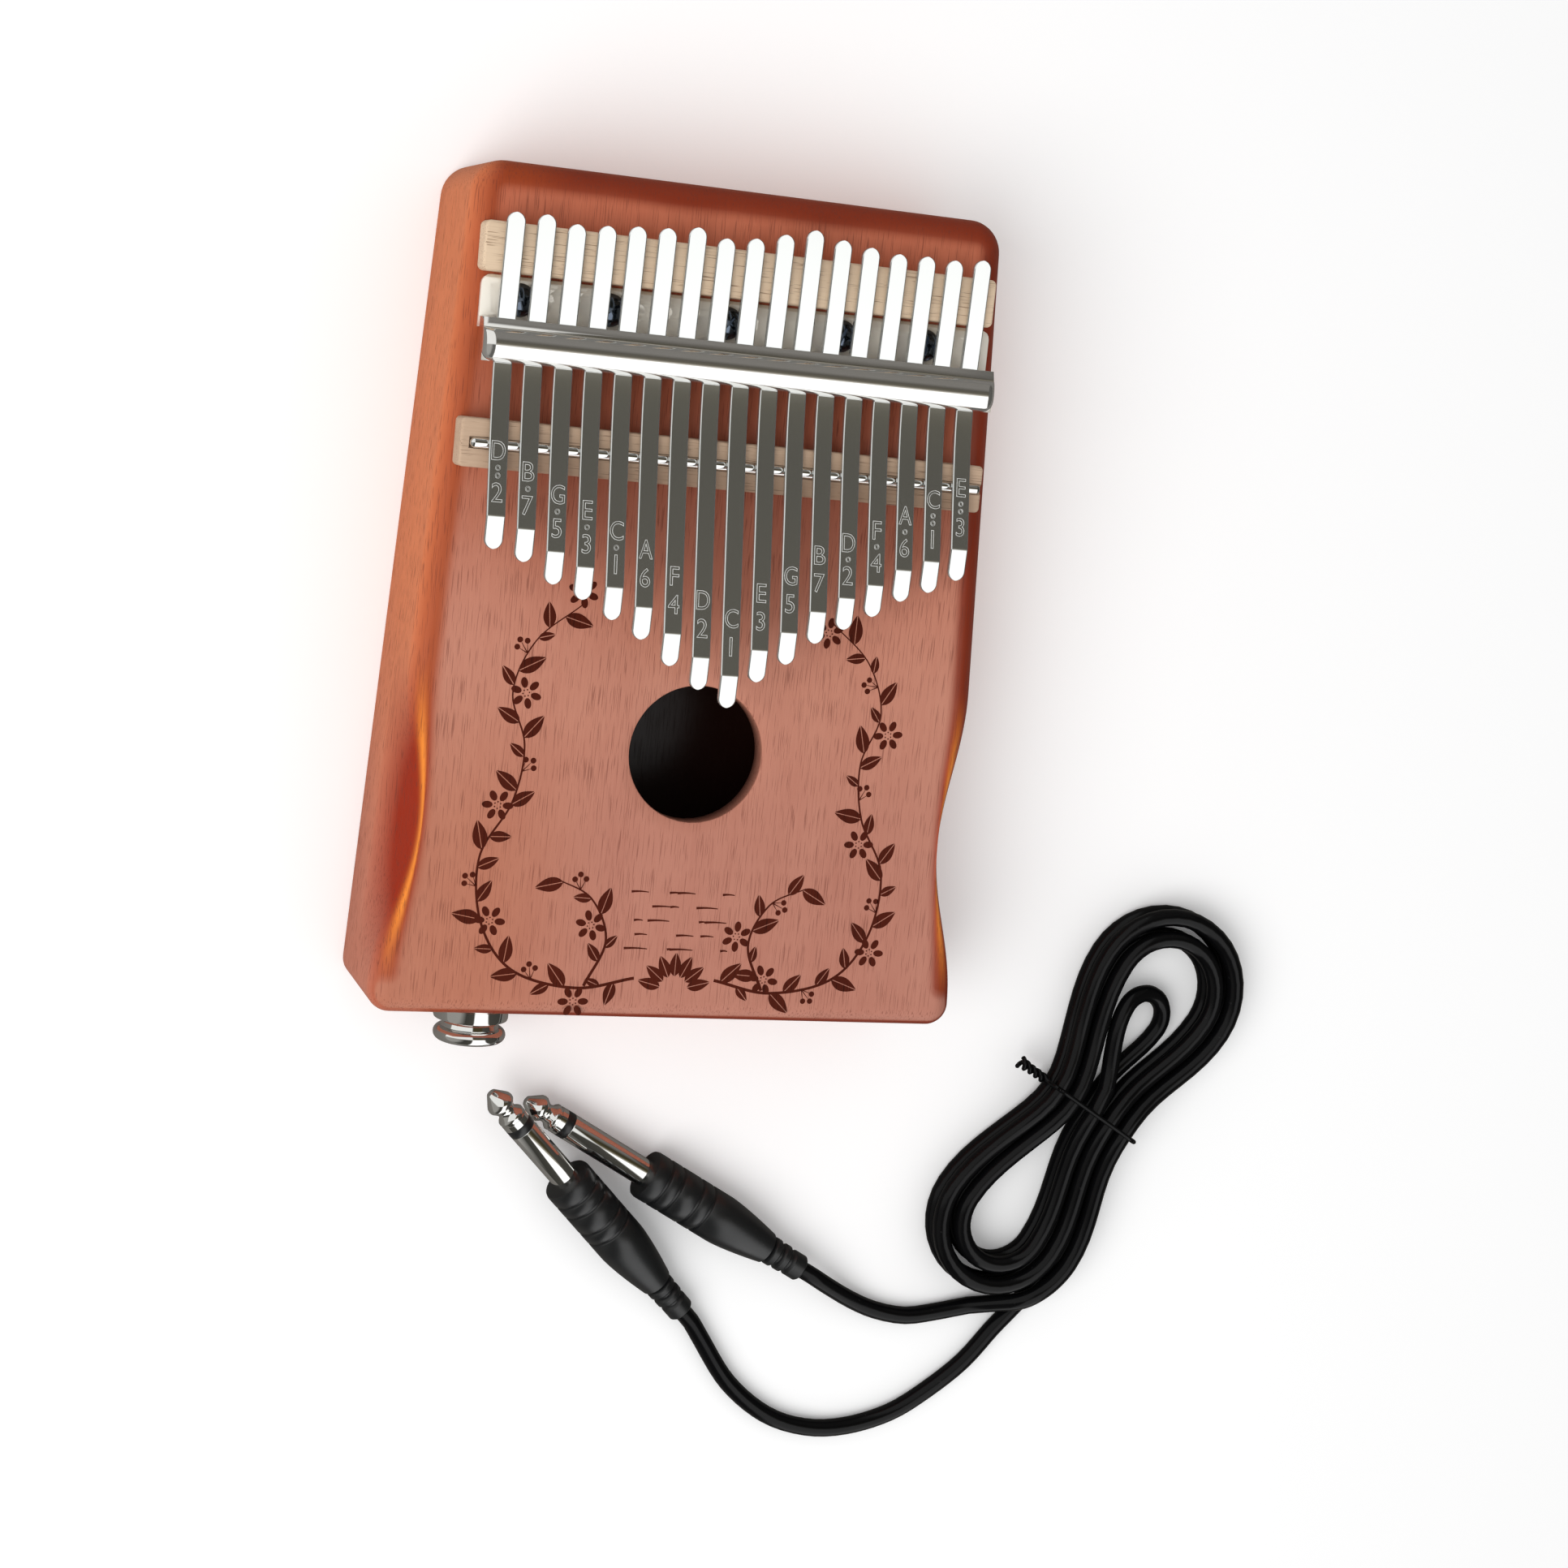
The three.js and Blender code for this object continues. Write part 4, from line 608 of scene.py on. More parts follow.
class Blank:
    """A mesh being shaped, in millimetres."""

    def __init__(self) -> None:
        """Starts an empty mesh."""
        self.bm = bmesh.new()

    def _merge(self) -> None:
        """Merges doubled points, turns the faces outwards and the mesh to metres."""
        bmesh.ops.remove_doubles(self.bm, verts=self.bm.verts, dist=MERGE_REACH)
        bmesh.ops.recalc_face_normals(self.bm, faces=self.bm.faces)
        bmesh.ops.scale(self.bm, vec=(MM, MM, MM), verts=self.bm.verts)

    def _release(self, name: str) -> bpy.types.Object:
        """Frees the mesh into a new object.

        Args:
            name: The object's name.

        Returns:
            The object.
        """
        mesh = bpy.data.meshes.new(name)
        self.bm.to_mesh(mesh)
        self.bm.free()
        return link(name, mesh)

    def finish(
        self, name: str, body: str, slot: str, finish: Finish, replaced: Sequence[str] = (),
        sharp: float = 32.0,
    ) -> bpy.types.Object:
        """Turns the mesh to metres and into a piece that rides on a body.

        Args:
            name: The piece's name.
            body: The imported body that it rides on.
            slot: The record's material slot.
            finish: The piece's finish.
            replaced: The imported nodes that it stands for.
            sharp: The angle in degrees over which an edge stays sharp.

        Returns:
            The piece.
        """
        self._merge()
        limit = math.radians(sharp)
        for face in self.bm.faces:
            face.smooth = True
        for edge in self.bm.edges:
            edge.smooth = not edge.seam and (len(edge.link_faces) != 2 or edge.calc_face_angle(0.0) < limit)
        piece = self._release(name)
        mount(piece, body, slot, finish, replaced)
        return piece

    def cut_from(self, piece: bpy.types.Object) -> None:
        """Takes the space of this mesh out of a piece, and frees the mesh.

        Args:
            piece: The piece.
        """
        self._merge()
        tool = self._release("cutter")
        change = piece.modifiers.new("cut", "BOOLEAN")
        change.operation, change.solver, change.object = "DIFFERENCE", "EXACT", tool
        result = evaluated(piece)
        piece.modifiers.clear()
        old, piece.data = piece.data, result
        name = old.name
        bpy.data.meshes.remove(old)
        result.name = name
        bpy.data.meshes.remove(tool.data)

    def turn(self, outline: Sequence[Flat], origin: Vector, direction: Vector, steps: int = 64) -> None:
        """Spins an outline about an axis.

        Args:
            outline: Places as (radius, distance along the axis).
            origin: Where distance 0 is.
            direction: The axis.
            steps: Faces round the axis.
        """
        axis = direction.normalized()
        side = axis.orthogonal().normalized()
        verts = [self.bm.verts.new(origin + axis * far + side * radius) for radius, far in outline]
        edges = [self.bm.edges.new(pair) for pair in zip(verts, verts[1:])]
        bmesh.ops.spin(
            self.bm, geom=verts + edges, cent=origin, axis=axis,
            angle=2 * math.pi, steps=steps, use_merge=True, use_duplicate=False,
        )

    def rod(self, radius: float, length: float, origin: Vector, direction: Vector, steps: int) -> None:
        """Adds a plain rod that starts at the origin."""
        self.turn([(0.0, 0.0), (radius, 0.0), (radius, length), (0.0, length)], origin, direction, steps)

    def loft(self, rings: Sequence[Sequence[Vector]], creases: Sequence[int] = ()) -> None:
        """Adds a closed skin through rings.

        Args:
            rings: The rings' places, each ring in the same order.
            creases: The places in a ring that a sharp edge runs along.
        """
        skin = Skin(self.bm, rings[0], {}, creases)
        skin.close()
        for ring in rings[1:]:
            skin.grow(ring)
        skin.close()


class Skin:
    """A skin that grows ring by ring from one circle of vertices."""

    def __init__(
        self, bm: bmesh.types.BMesh, places: Sequence[Vector], layers: dict[str, float],
        creases: Sequence[int] = (),
    ) -> None:
        """Starts the skin.

        Args:
            bm: The mesh.
            places: The first ring's places, in order.
            layers: Values of vertex attributes on the ring.
            creases: The places in a ring that a sharp edge runs along.
        """
        self.bm = bm
        self.creases = creases
        self.layers = {name: bm.verts.layers.float.new(name) for name in layers}
        self.ring = bmesh.ops.create_circle(bm, cap_ends=False, segments=len(places), radius=1.0)["verts"]
        self._set(places, layers)

    def _set(self, places: Sequence[Vector], layers: dict[str, object]) -> None:
        """Moves the ring to its places and sets its attributes.

        Args:
            places: The ring's places, in order.
            layers: Values by attribute name, each a number or a list with one for each vertex.
        """
        for number, (vert, place) in enumerate(zip(self.ring, places)):
            vert.co = place
            for name, value in layers.items():
                vert[self.layers[name]] = value[number] if isinstance(value, list) else value

    def grow(self, places: Sequence[Vector], **layers: object) -> None:
        """Extrudes the ring to new places.

        Args:
            places: The new ring's places, in the same order.
            layers: Values of vertex attributes on the new ring.
        """
        before = self.ring
        edges = [self.bm.edges.get(pair) for pair in zip(before, [*before[1:], before[0]])]
        made = bmesh.ops.extrude_edge_only(self.bm, edges=edges)["geom"]
        fresh = {item for item in made if isinstance(item, bmesh.types.BMVert)}
        self.ring = [
            next(edge.other_vert(vert) for edge in vert.link_edges if edge.other_vert(vert) in fresh)
            for vert in before
        ]
        for number in self.creases:
            self.bm.edges.get((before[number], self.ring[number])).seam = True
        self._set(places, layers)

    def close(self) -> None:
        """Closes the ring with one face."""
        bmesh.ops.contextual_create(self.bm, geom=self.ring)


def catmull(points: Sequence[Vector], spacing: float) -> list[Vector]:
    """Draws a smooth line through points.

    Args:
        points: The points, of which the first and last are on the line.
        spacing: About how far apart the drawn points lie.

    Returns:
        The line's points.
    """
    knots = [points[0] * 2 - points[1], *points, points[-1] * 2 - points[-2]]
    line = []
    for a, b, c, d in zip(knots, knots[1:], knots[2:], knots[3:]):
        count = max(2, round((c - b).length / spacing))
        for number in range(count):
            t = number / count
            bow = (2 * a - 5 * b + 4 * c - d) * t**2 + (3 * b - a - 3 * c + d) * t**3
            line.append(0.5 * (2 * b + (c - a) * t + bow))
    return [*line, points[-1].copy()]


def cord_piece(
    name: str, line: Sequence[Vector], radius: float, body: str, slot: str, replaced: Sequence[str],
    **nature: object,
) -> None:
    """Makes a round cord along a line, a curve of one open spline.

    Args:
        name: The piece's name.
        line: The line in millimetres, from where the cord leaves its holder.
        radius: The cord's radius in millimetres.
        body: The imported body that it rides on.
        slot: The record's material slot.
        replaced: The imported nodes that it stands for.
    """
    curve = bpy.data.curves.new(name, "CURVE")
    curve.dimensions = "3D"
    curve.bevel_depth = radius * MM
    curve.bevel_resolution = 4
    curve.use_fill_caps = True
    spline = curve.splines.new("POLY")
    spline.points.add(len(line) - 1)
    for point, place in zip(spline.points, line):
        point.co = (*(place * MM), 1.0)
    spline.use_smooth = True
    piece = link(name, curve)
    mount(piece, body, slot, Finish.CABLE, replaced)


def smooth_copy(
    node: str, name: str, finish: Finish, slot: str, bevel: float = 0.0, top: float = 0.0
) -> None:
    """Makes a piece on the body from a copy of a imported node, with merged points and eased edges.

    Args:
        node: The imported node.
        name: The piece's name.
        finish: The piece's finish.
        slot: The record's material slot.
        bevel: The width of the eased edges in millimetres.
        top: The height in millimetres over which the copy is cut away, or 0.
    """
    blank = Blank()
    bm = blank.bm
    bm.from_mesh(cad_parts[node].data)
    bmesh.ops.scale(bm, vec=(1 / MM, 1 / MM, 1 / MM), verts=bm.verts)
    bmesh.ops.remove_doubles(bm, verts=bm.verts, dist=COPY_MERGE_REACH)
    bmesh.ops.dissolve_limit(bm, angle_limit=FLAT_ANGLE, verts=bm.verts, edges=bm.edges)
    if bevel > 0:
        edges = [e for e in bm.edges if len(e.link_faces) == 2 and e.calc_face_angle(0.0) > EASED_ANGLE]
        bmesh.ops.bevel(
            bm, geom=edges, offset=bevel, offset_type="OFFSET", segments=2, profile=0.5,
            affect="EDGES", clamp_overlap=True, material=-1,
        )
    if top > 0:
        geometry = [*bm.verts, *bm.edges, *bm.faces]
        cut = bmesh.ops.bisect_plane(
            bm, geom=geometry, dist=0.0001, plane_co=(0, 0, top), plane_no=(0, 0, 1), clear_outer=True
        )
        rim = [item for item in cut["geom_cut"] if isinstance(item, bmesh.types.BMEdge)]
        bmesh.ops.holes_fill(bm, edges=rim, sides=0)
    blank.finish(name, "body", slot, finish, [node], 35.0)
    LOG.info("%s made", name)


def dress_node(node: str, finish: Finish) -> None:
    """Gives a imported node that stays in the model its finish.

    Args:
        node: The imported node.
        finish: The finish.
    """
    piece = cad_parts[node]
    if piece.material_slots:
        piece.material_slots[0].material = finish.material
    else:
        piece.data.materials.append(finish.material)
    LOG.info("%s dressed as %s", node, finish.value.name)


# Studio


@dataclass
class Studio:
    """The camera, the pale floor, the room that shines in bright metal, and the lamp."""

    camera_place: Place = (-0.173958, 0.047527, 0.588096)
    camera_turn: Place = (-0.14019, -0.33795, 0.10323)
    lens: float = 63.01
    sensor: float = 36.0
    clip: Span = (0.01, 20.0)
    floor_reach: float = 3.0
    floor_seen: Colour = grey(0.97)
    floor_plain: Colour = grey(0.8)
    floor_shine: Colour = (0.20, 0.19, 0.175)
    floor_glow: Colour = grey(0.09)
    floor_far: Span = (0.35, 1.1)
    room_fill: Colour = grey(0.62)
    lamp_place: Place = (-0.82, -0.34, 1.0)
    lamp_size: float = 1.1
    lamp_power: float = 10.5
    horizon: float = 0.03
    window: Span = (-0.008, -0.032)
    window_light: Colour = grey(1.6)
    window_middle: float = 0.33
    window_sides: Span = (0.36, 0.26)
    rear_left_x: Span = (0.07, -0.02)
    rear_left_y: Span = (-0.05, 0.1)
    rear_left: Colour = (0.95, 0.95, 0.93)
    walls: tuple[tuple[float, Colour], ...] = (
        (0.0, (0.42, 0.42, 0.42)),
        (0.47, (0.70, 0.66, 0.60)),
        (0.52, (0.55, 0.52, 0.46)),
        (0.57, (0.155, 0.135, 0.095)),
        (0.60, (0.086, 0.072, 0.039)),
        (0.63, (0.065, 0.054, 0.027)),
        (0.74, (0.042, 0.034, 0.017)),
        (0.88, (0.13, 0.12, 0.105)),
        (1.0, (0.18, 0.17, 0.155)),
    )
    far_walls: tuple[tuple[float, Colour], ...] = (
        (0.2, (0.07, 0.066, 0.056)), (0.55, (0.05, 0.048, 0.042)), (0.75, (0.34, 0.33, 0.31)),
    )

    def build(self) -> None:
        """Makes the studio."""
        self._camera()
        self._floor()
        self._lamp()
        self._room()
        bpy.context.scene.view_settings.view_transform = "Standard"
        LOG.info("studio ready")

    def _camera(self) -> None:
        """Sets the camera where the photograph was taken from."""
        data = bpy.data.cameras.new("camera")
        data.lens = self.lens
        data.sensor_width = self.sensor
        data.sensor_fit = "HORIZONTAL"
        data.clip_start, data.clip_end = self.clip
        camera = link("camera", data)
        camera.rotation_mode = "ZXY"
        camera.rotation_euler = self.camera_turn
        camera.location = self.camera_place
        bpy.context.scene.camera = camera

    def _floor(self) -> None:
        """Lays the floor, which glows white where the camera sees it far away."""
        bm = bmesh.new()
        bmesh.ops.create_grid(bm, x_segments=1, y_segments=1, size=self.floor_reach)
        mesh = bpy.data.meshes.new("floor")
        bm.to_mesh(mesh)
        bm.free()
        surface = Surface("pale_floor")
        path = surface.add("ShaderNodeLightPath").outputs
        seen = path["Is Camera Ray"]
        colour = surface.blend(path["Is Glossy Ray"], self.floor_plain, self.floor_shine)
        away = surface.add("ShaderNodeVectorMath", {0: surface.place}, operation="LENGTH").outputs["Value"]
        glow = surface.blend(surface.step(away, *self.floor_far), self.floor_glow, grey(1.0))
        surface.shade(
            Base_Color=surface.blend(seen, colour, self.floor_seen),
            Roughness=0.9,
            Specular_IOR_Level=0.0,
            Emission_Color=surface.blend(seen, grey(0.0), glow),
            Emission_Strength=1.0,
        )
        mesh.materials.append(surface.material)
        link("floor", mesh)

    def _lamp(self) -> None:
        """Hangs the soft lamp."""
        data = bpy.data.lights.new("soft_lamp", "AREA")
        data.shape = "DISK"
        data.size = self.lamp_size
        data.energy = self.lamp_power
        lamp = link("soft_lamp", data)
        lamp.location = self.lamp_place
        lamp.rotation_mode = "QUATERNION"
        lamp.rotation_quaternion = (-Vector(self.lamp_place)).to_track_quat("-Z", "Y")
        lamp.visible_glossy = False

    def _room(self) -> None:
        """Makes the room: a bright window to the front, dim walls behind, and even fill."""
        world = bpy.data.worlds.new("room")
        bpy.context.scene.world = world
        world.use_nodes = True
        graph = Graph(world.node_tree)
        blend, step, maths = graph.blend, graph.step, graph.maths
        x, y, z = graph.axes(graph.add("ShaderNodeTexCoord").outputs["Generated"])
        along = maths("DIVIDE", y, maths("MAXIMUM", z, self.horizon))
        aside = maths("ABSOLUTE", maths("SUBTRACT", x, self.window_middle))
        side = step(aside, *self.window_sides)
        window = maths("MULTIPLY", step(along, *self.window), side)
        walls = graph.ramp(maths("MULTIPLY_ADD", along, 0.5, 0.5, clamp=True), self.walls)
        far = graph.ramp(maths("MULTIPLY", aside, 0.75), self.far_walls)
        rear_left = maths("MULTIPLY", step(x, *self.rear_left_x), step(along, *self.rear_left_y))
        far = blend(rear_left, far, self.rear_left)
        shine = blend(window, blend(side, far, walls), self.window_light)
        path = graph.add("ShaderNodeLightPath").outputs
        shade = blend(path["Is Glossy Ray"], self.room_fill, shine)
        shade = blend(path["Is Camera Ray"], shade, grey(1.0))
        graph.fill(world.node_tree.nodes["Background"], {"Color": shade, "Strength": 1.0})


# Lead


@dataclass
class Plug:
    """A quarter-inch plug. Lengths run from the nose of its tip back along its axis."""

    letter: str
    exposed: float
    end: Place
    heading: float
    tilt: float
    shaft: float = 3.175
    tip_length: float = 10.0
    ring_length: float = 2.2
    joint: float = 0.3
    grip_length: float = 36.0
    grip_straight: float = 22.0
    grip_radius: float = 5.85
    grip_end_radius: float = 3.8
    grip_edge: float = 0.8
    grooves: tuple[float, ...] = (4.1, 7.5, 13.0, 16.5)
    groove_profile: tuple[Flat, ...] = ((0.0, 0.55), (0.12, 0.4), (0.42, 0.2))
    relief_length: float = 9.8
    relief_start: float = 3.45
    relief_end: float = 3.1
    relief_core: float = 2.55
    ribs: tuple[Span, ...] = ((0.4, 2.3), (3.3, 5.2), (6.2, 9.8))

    @property
    def direction(self) -> Vector:
        """The direction from the tip to the cable."""
        tilt = math.radians(self.tilt)
        return Vector((*polar(0.0, 0.0, math.cos(tilt), math.radians(self.heading)), -math.sin(tilt)))

    @property
    def length(self) -> float:
        """The whole plug's length."""
        return self.exposed + 2 * self.joint + self.grip_length + self.relief_length

    @property
    def nose(self) -> Vector:
        """The place of the tip's nose."""
        return Vector(self.end) - self.direction * self.length

    def _tip(self) -> list[Flat]:
        """Returns the outline of the pointed tip, with its waist and the rib behind it."""
        shaft = self.shaft
        return [
            (0.0, 0.0), (0.75, 0.0), (1.15, 0.2), (2.75, 2.6), (3.05, 3.1), (shaft, 3.7), (3.1, 4.2),
            (2.6, 4.9), (2.2, 5.5), (2.15, 6.0), (2.35, 6.6), (2.9, 7.1), (shaft, 7.5), (shaft, 7.9),
            (2.85, 8.1), (2.85, 8.4), (shaft, 8.6), (shaft, self.tip_length), (0.0, self.tip_length),
        ]

    def _grip(self, start: float) -> list[Flat]:
        """Draws the grip, with its moulded rings and tapered end.

        Args:
            start: Where it starts along the plug.

        Returns:
            Its outline.
        """
        radius, edge = self.grip_radius, self.grip_edge
        outline = [(0.0, start), (radius - edge, start), (radius - 0.25 * edge, start + 0.25 * edge)]
        outline.append((radius, start + edge))
        for middle in self.grooves:
            outline += [(radius - deep, start + middle - far) for deep, far in self.groove_profile]
            outline += [(radius - deep, start + middle + far) for deep, far in self.groove_profile[::-1]]
        steps = 12
        for share in (step / steps for step in range(steps + 1)):
            swell = lerp(radius, self.grip_end_radius, share**1.4)
            outline.append((swell, start + lerp(self.grip_straight, self.grip_length, share)))
        end = start + self.grip_length + self.joint
        return [*outline, (self.grip_end_radius - 0.5, end), (0.0, end)]

    def _relief(self, start: float) -> list[Flat]:
        """Draws the ribbed strain relief.

        Args:
            start: Where it starts along the plug.

        Returns:
            Its outline.
        """
        core, outline = self.relief_core, [(0.0, start), (2.6, start)]
        for low, high in self.ribs:
            radius = lerp(self.relief_start, self.relief_end, (low + high) / 2 / self.relief_length)
            outline += [
                (core, start + low - 0.25), (radius - 0.3, start + low), (radius, start + low + 0.35),
                (radius, start + high - 0.35), (radius - 0.3, start + high), (core, start + high + 0.2),
            ]
        end = start + self.relief_length + 0.15
        return [*outline[:-1], (2.2, end), (0.0, end)]

    def build(self) -> list[bpy.types.Object]:
        """Makes the plug's five pieces and returns them."""
        tip_end, back, shaft = self.tip_length, self.exposed, self.shaft
        ring_end = tip_end + self.ring_length
        insulator = [
            (0.0, tip_end), (shaft - 0.1, tip_end), (shaft + 0.02, tip_end + 0.2),
            (shaft + 0.02, ring_end - 0.2), (shaft - 0.1, ring_end), (0.0, ring_end),
        ]
        sleeve = [
            (0.0, ring_end), (shaft - 0.1, ring_end), (shaft, ring_end + 0.15), (shaft, back), (0.0, back)
        ]
        relief = self._relief(back + 2 * self.joint + self.grip_length)
        pieces = []
        for part, outline, slot, finish in (
            ("tip", self._tip(), "chrome", Finish.CHROME),
            ("insulator", insulator, "black_plastic", Finish.PLASTIC),
            ("sleeve", sleeve, "chrome", Finish.CHROME),
            ("grip", self._grip(back), "black_plastic", Finish.PLASTIC),
            ("relief", relief, "black_rubber", Finish.PLASTIC),
        ):
            blank = Blank()
            blank.turn(outline, self.nose, self.direction)
            name = f"plug_{self.letter}_{part}"
            pieces.append(blank.finish(f"{name}_turned", "lead", slot, finish, [name], 40.0))
        LOG.info("plug %s: %d pieces, %.1f mm long", self.letter, len(pieces), self.length)
        return pieces


@dataclass
class Hank:
    """The folded bundle of cable. Places are along and across its middle line."""

    centre: Place = (115.0, -114.0, 0.0)
    axis_angle: float = 59.0
    lobe_reach: float = 33.5
    lobe_radius: float = 20.9
    lobe_pitch: float = 5.4
    waist_half: float = 12.5
    waist_pitch: float = 4.95
    layer_pitch: float = 4.9
    petal_reach: float = 25.5
    petal_radius: float = 6.4
    petal_offset: float = 0.5
    petal_climb: float = 0.8
    exit_hold: float = 12.0
    exit_drop: float = 17.0
    entry: Place = (102.4, -168.1, 0.0)
    leave: Place = (88.4, -165.9, 0.0)
    straight_end: float = 4.4
    exit_arc: float = 47.0
    cable_radius: float = 2.1
    tie_lift: float = 1.9
    quarter_steps: int = 18

    @property
    def along(self) -> Vector:
        """The direction of the middle line."""
        return Vector((*polar(0.0, 0.0, 1.0, math.radians(self.axis_angle)), 0.0))

    @property
    def across(self) -> Vector:
        """The direction across the middle line."""
        return Vector((self.along.y, -self.along.x, 0.0))

    def point(self, along: float, across: float, height: float) -> Vector:
        """Returns a point from its places along and across, and its height over the table."""
        point = Vector(self.centre) + self.along * along + self.across * across
        point.z = height
        return point

    def place(self, along: float, across: float, layer: float) -> Vector:
        """Returns a point of the cable's centre from its places along and across, and its layer."""
        lift = self.tie_lift * math.exp(-((along / (self.lobe_reach / 3.5)) ** 2))
        return self.point(along, across, self.cable_radius + layer * self.layer_pitch + lift)

    def offsets(self, point: Place) -> Flat:
        """Returns a table point's places along and across."""
        offset = Vector(point) - Vector(self.centre)
        return offset.dot(self.along), offset.dot(self.across)

    def run_width(self, turns: float, along: float) -> float:
        """Returns how far a run lies from the middle line."""
        lobe = self.lobe_radius - self.lobe_pitch * turns
        waist = self.waist_half - self.waist_pitch * turns
        return lerp(lobe, waist, (1 + math.cos(math.pi * along / self.lobe_reach)) / 2)

    def _spiral(self) -> list[Flat]:
        """Returns one layer's places, from the outer turn to the innermost waist."""
        places = []
        steps = self.quarter_steps
        for number in range(8 * steps + steps // 2 + 1):
            turns = number / (4 * steps)
            share = (number % steps) / steps
            run = self.lobe_reach * (2 * share - 1)
            width = self.run_width(turns, run)
            rise, reach = polar(0.0, 0.0, self.lobe_radius - self.lobe_pitch * turns, math.pi * share)
            stages = (
                (run, width), (self.lobe_reach + reach, rise),
                (-run, -width), (-self.lobe_reach - reach, -rise),
            )
            places.append(stages[(number // steps) % 4])
        return places

    def _petal(self, waist: float) -> list[Place]:
        """Draws the innermost turn round the upper lobe, which climbs to the upper layer.

        Args:
            waist: How far across the turn starts and ends.

        Returns:
            Places as (along, across, layer).
        """
        radius, offset = self.petal_radius, self.petal_offset
        shares = [number / 9 for number in range(1, 10)]
        points = [
            (self.petal_reach * share, lerp(waist, offset + radius, ease(share**1.25)), 0.0)
            for share in shares
        ]
        steps = 24
        bend = arc(offset, self.petal_reach, radius, 0.0, math.pi, steps)
        for number, (across, along) in enumerate(bend[1:], 1):
            points.append((along, across, ease(self.petal_climb * number / steps)))
        for share in shares:
            back = 0.75 * share
            across = lerp(offset - radius, waist, ease(back * 1.1))
            points.append((self.petal_reach * (1 - back), across, ease(self.petal_climb + 0.45 * share)))
        return points

    def _exit(self) -> list[Place]:
        """Returns the last arc round the lower lobe, and the drop to the table."""
        radius, sweep = self.lobe_radius, math.radians(self.exit_arc)

        def layer(travelled: float) -> float:
            """Returns how high the cable still lies after a way round the lobe and on."""
            return 1 - ease((travelled - self.exit_hold) / self.exit_drop)

        steps = 12
        points = []
        for angle in (sweep * number / steps for number in range(1, steps + 1)):
            across, along = polar(0.0, self.lobe_reach, radius, angle)
            points.append((-along, across, layer(radius * angle)))
        start, end = points[-1], self.offsets(self.leave)
        reach = math.dist(start[:2], end)
        for share in (0.34, 1 - self.straight_end / reach, 1.0):
            place = (lerp(start[axis], end[axis], share) for axis in range(2))
            points.append((*place, layer(radius * sweep + reach * share)))
        return points

    def line(self) -> list[Vector]:
        """Returns the cable's line from where it enters the hank to where it leaves it."""
        entry = self.offsets(self.entry)
        turns = self._spiral()
        near = self.straight_end / math.dist(turns[0], entry)
        places = [
            (*(lerp(entry[axis], turns[0][axis], share) for axis in range(2)), 0.0)
            for share in (0.0, near, 0.6)
        ]
        places += [(*turn, 0.0) for turn in turns]
        places += self._petal(turns[-1][1])
        places += [(*turn, 1.0) for turn in reversed(turns)]
        return [self.place(*place) for place in places + self._exit()]


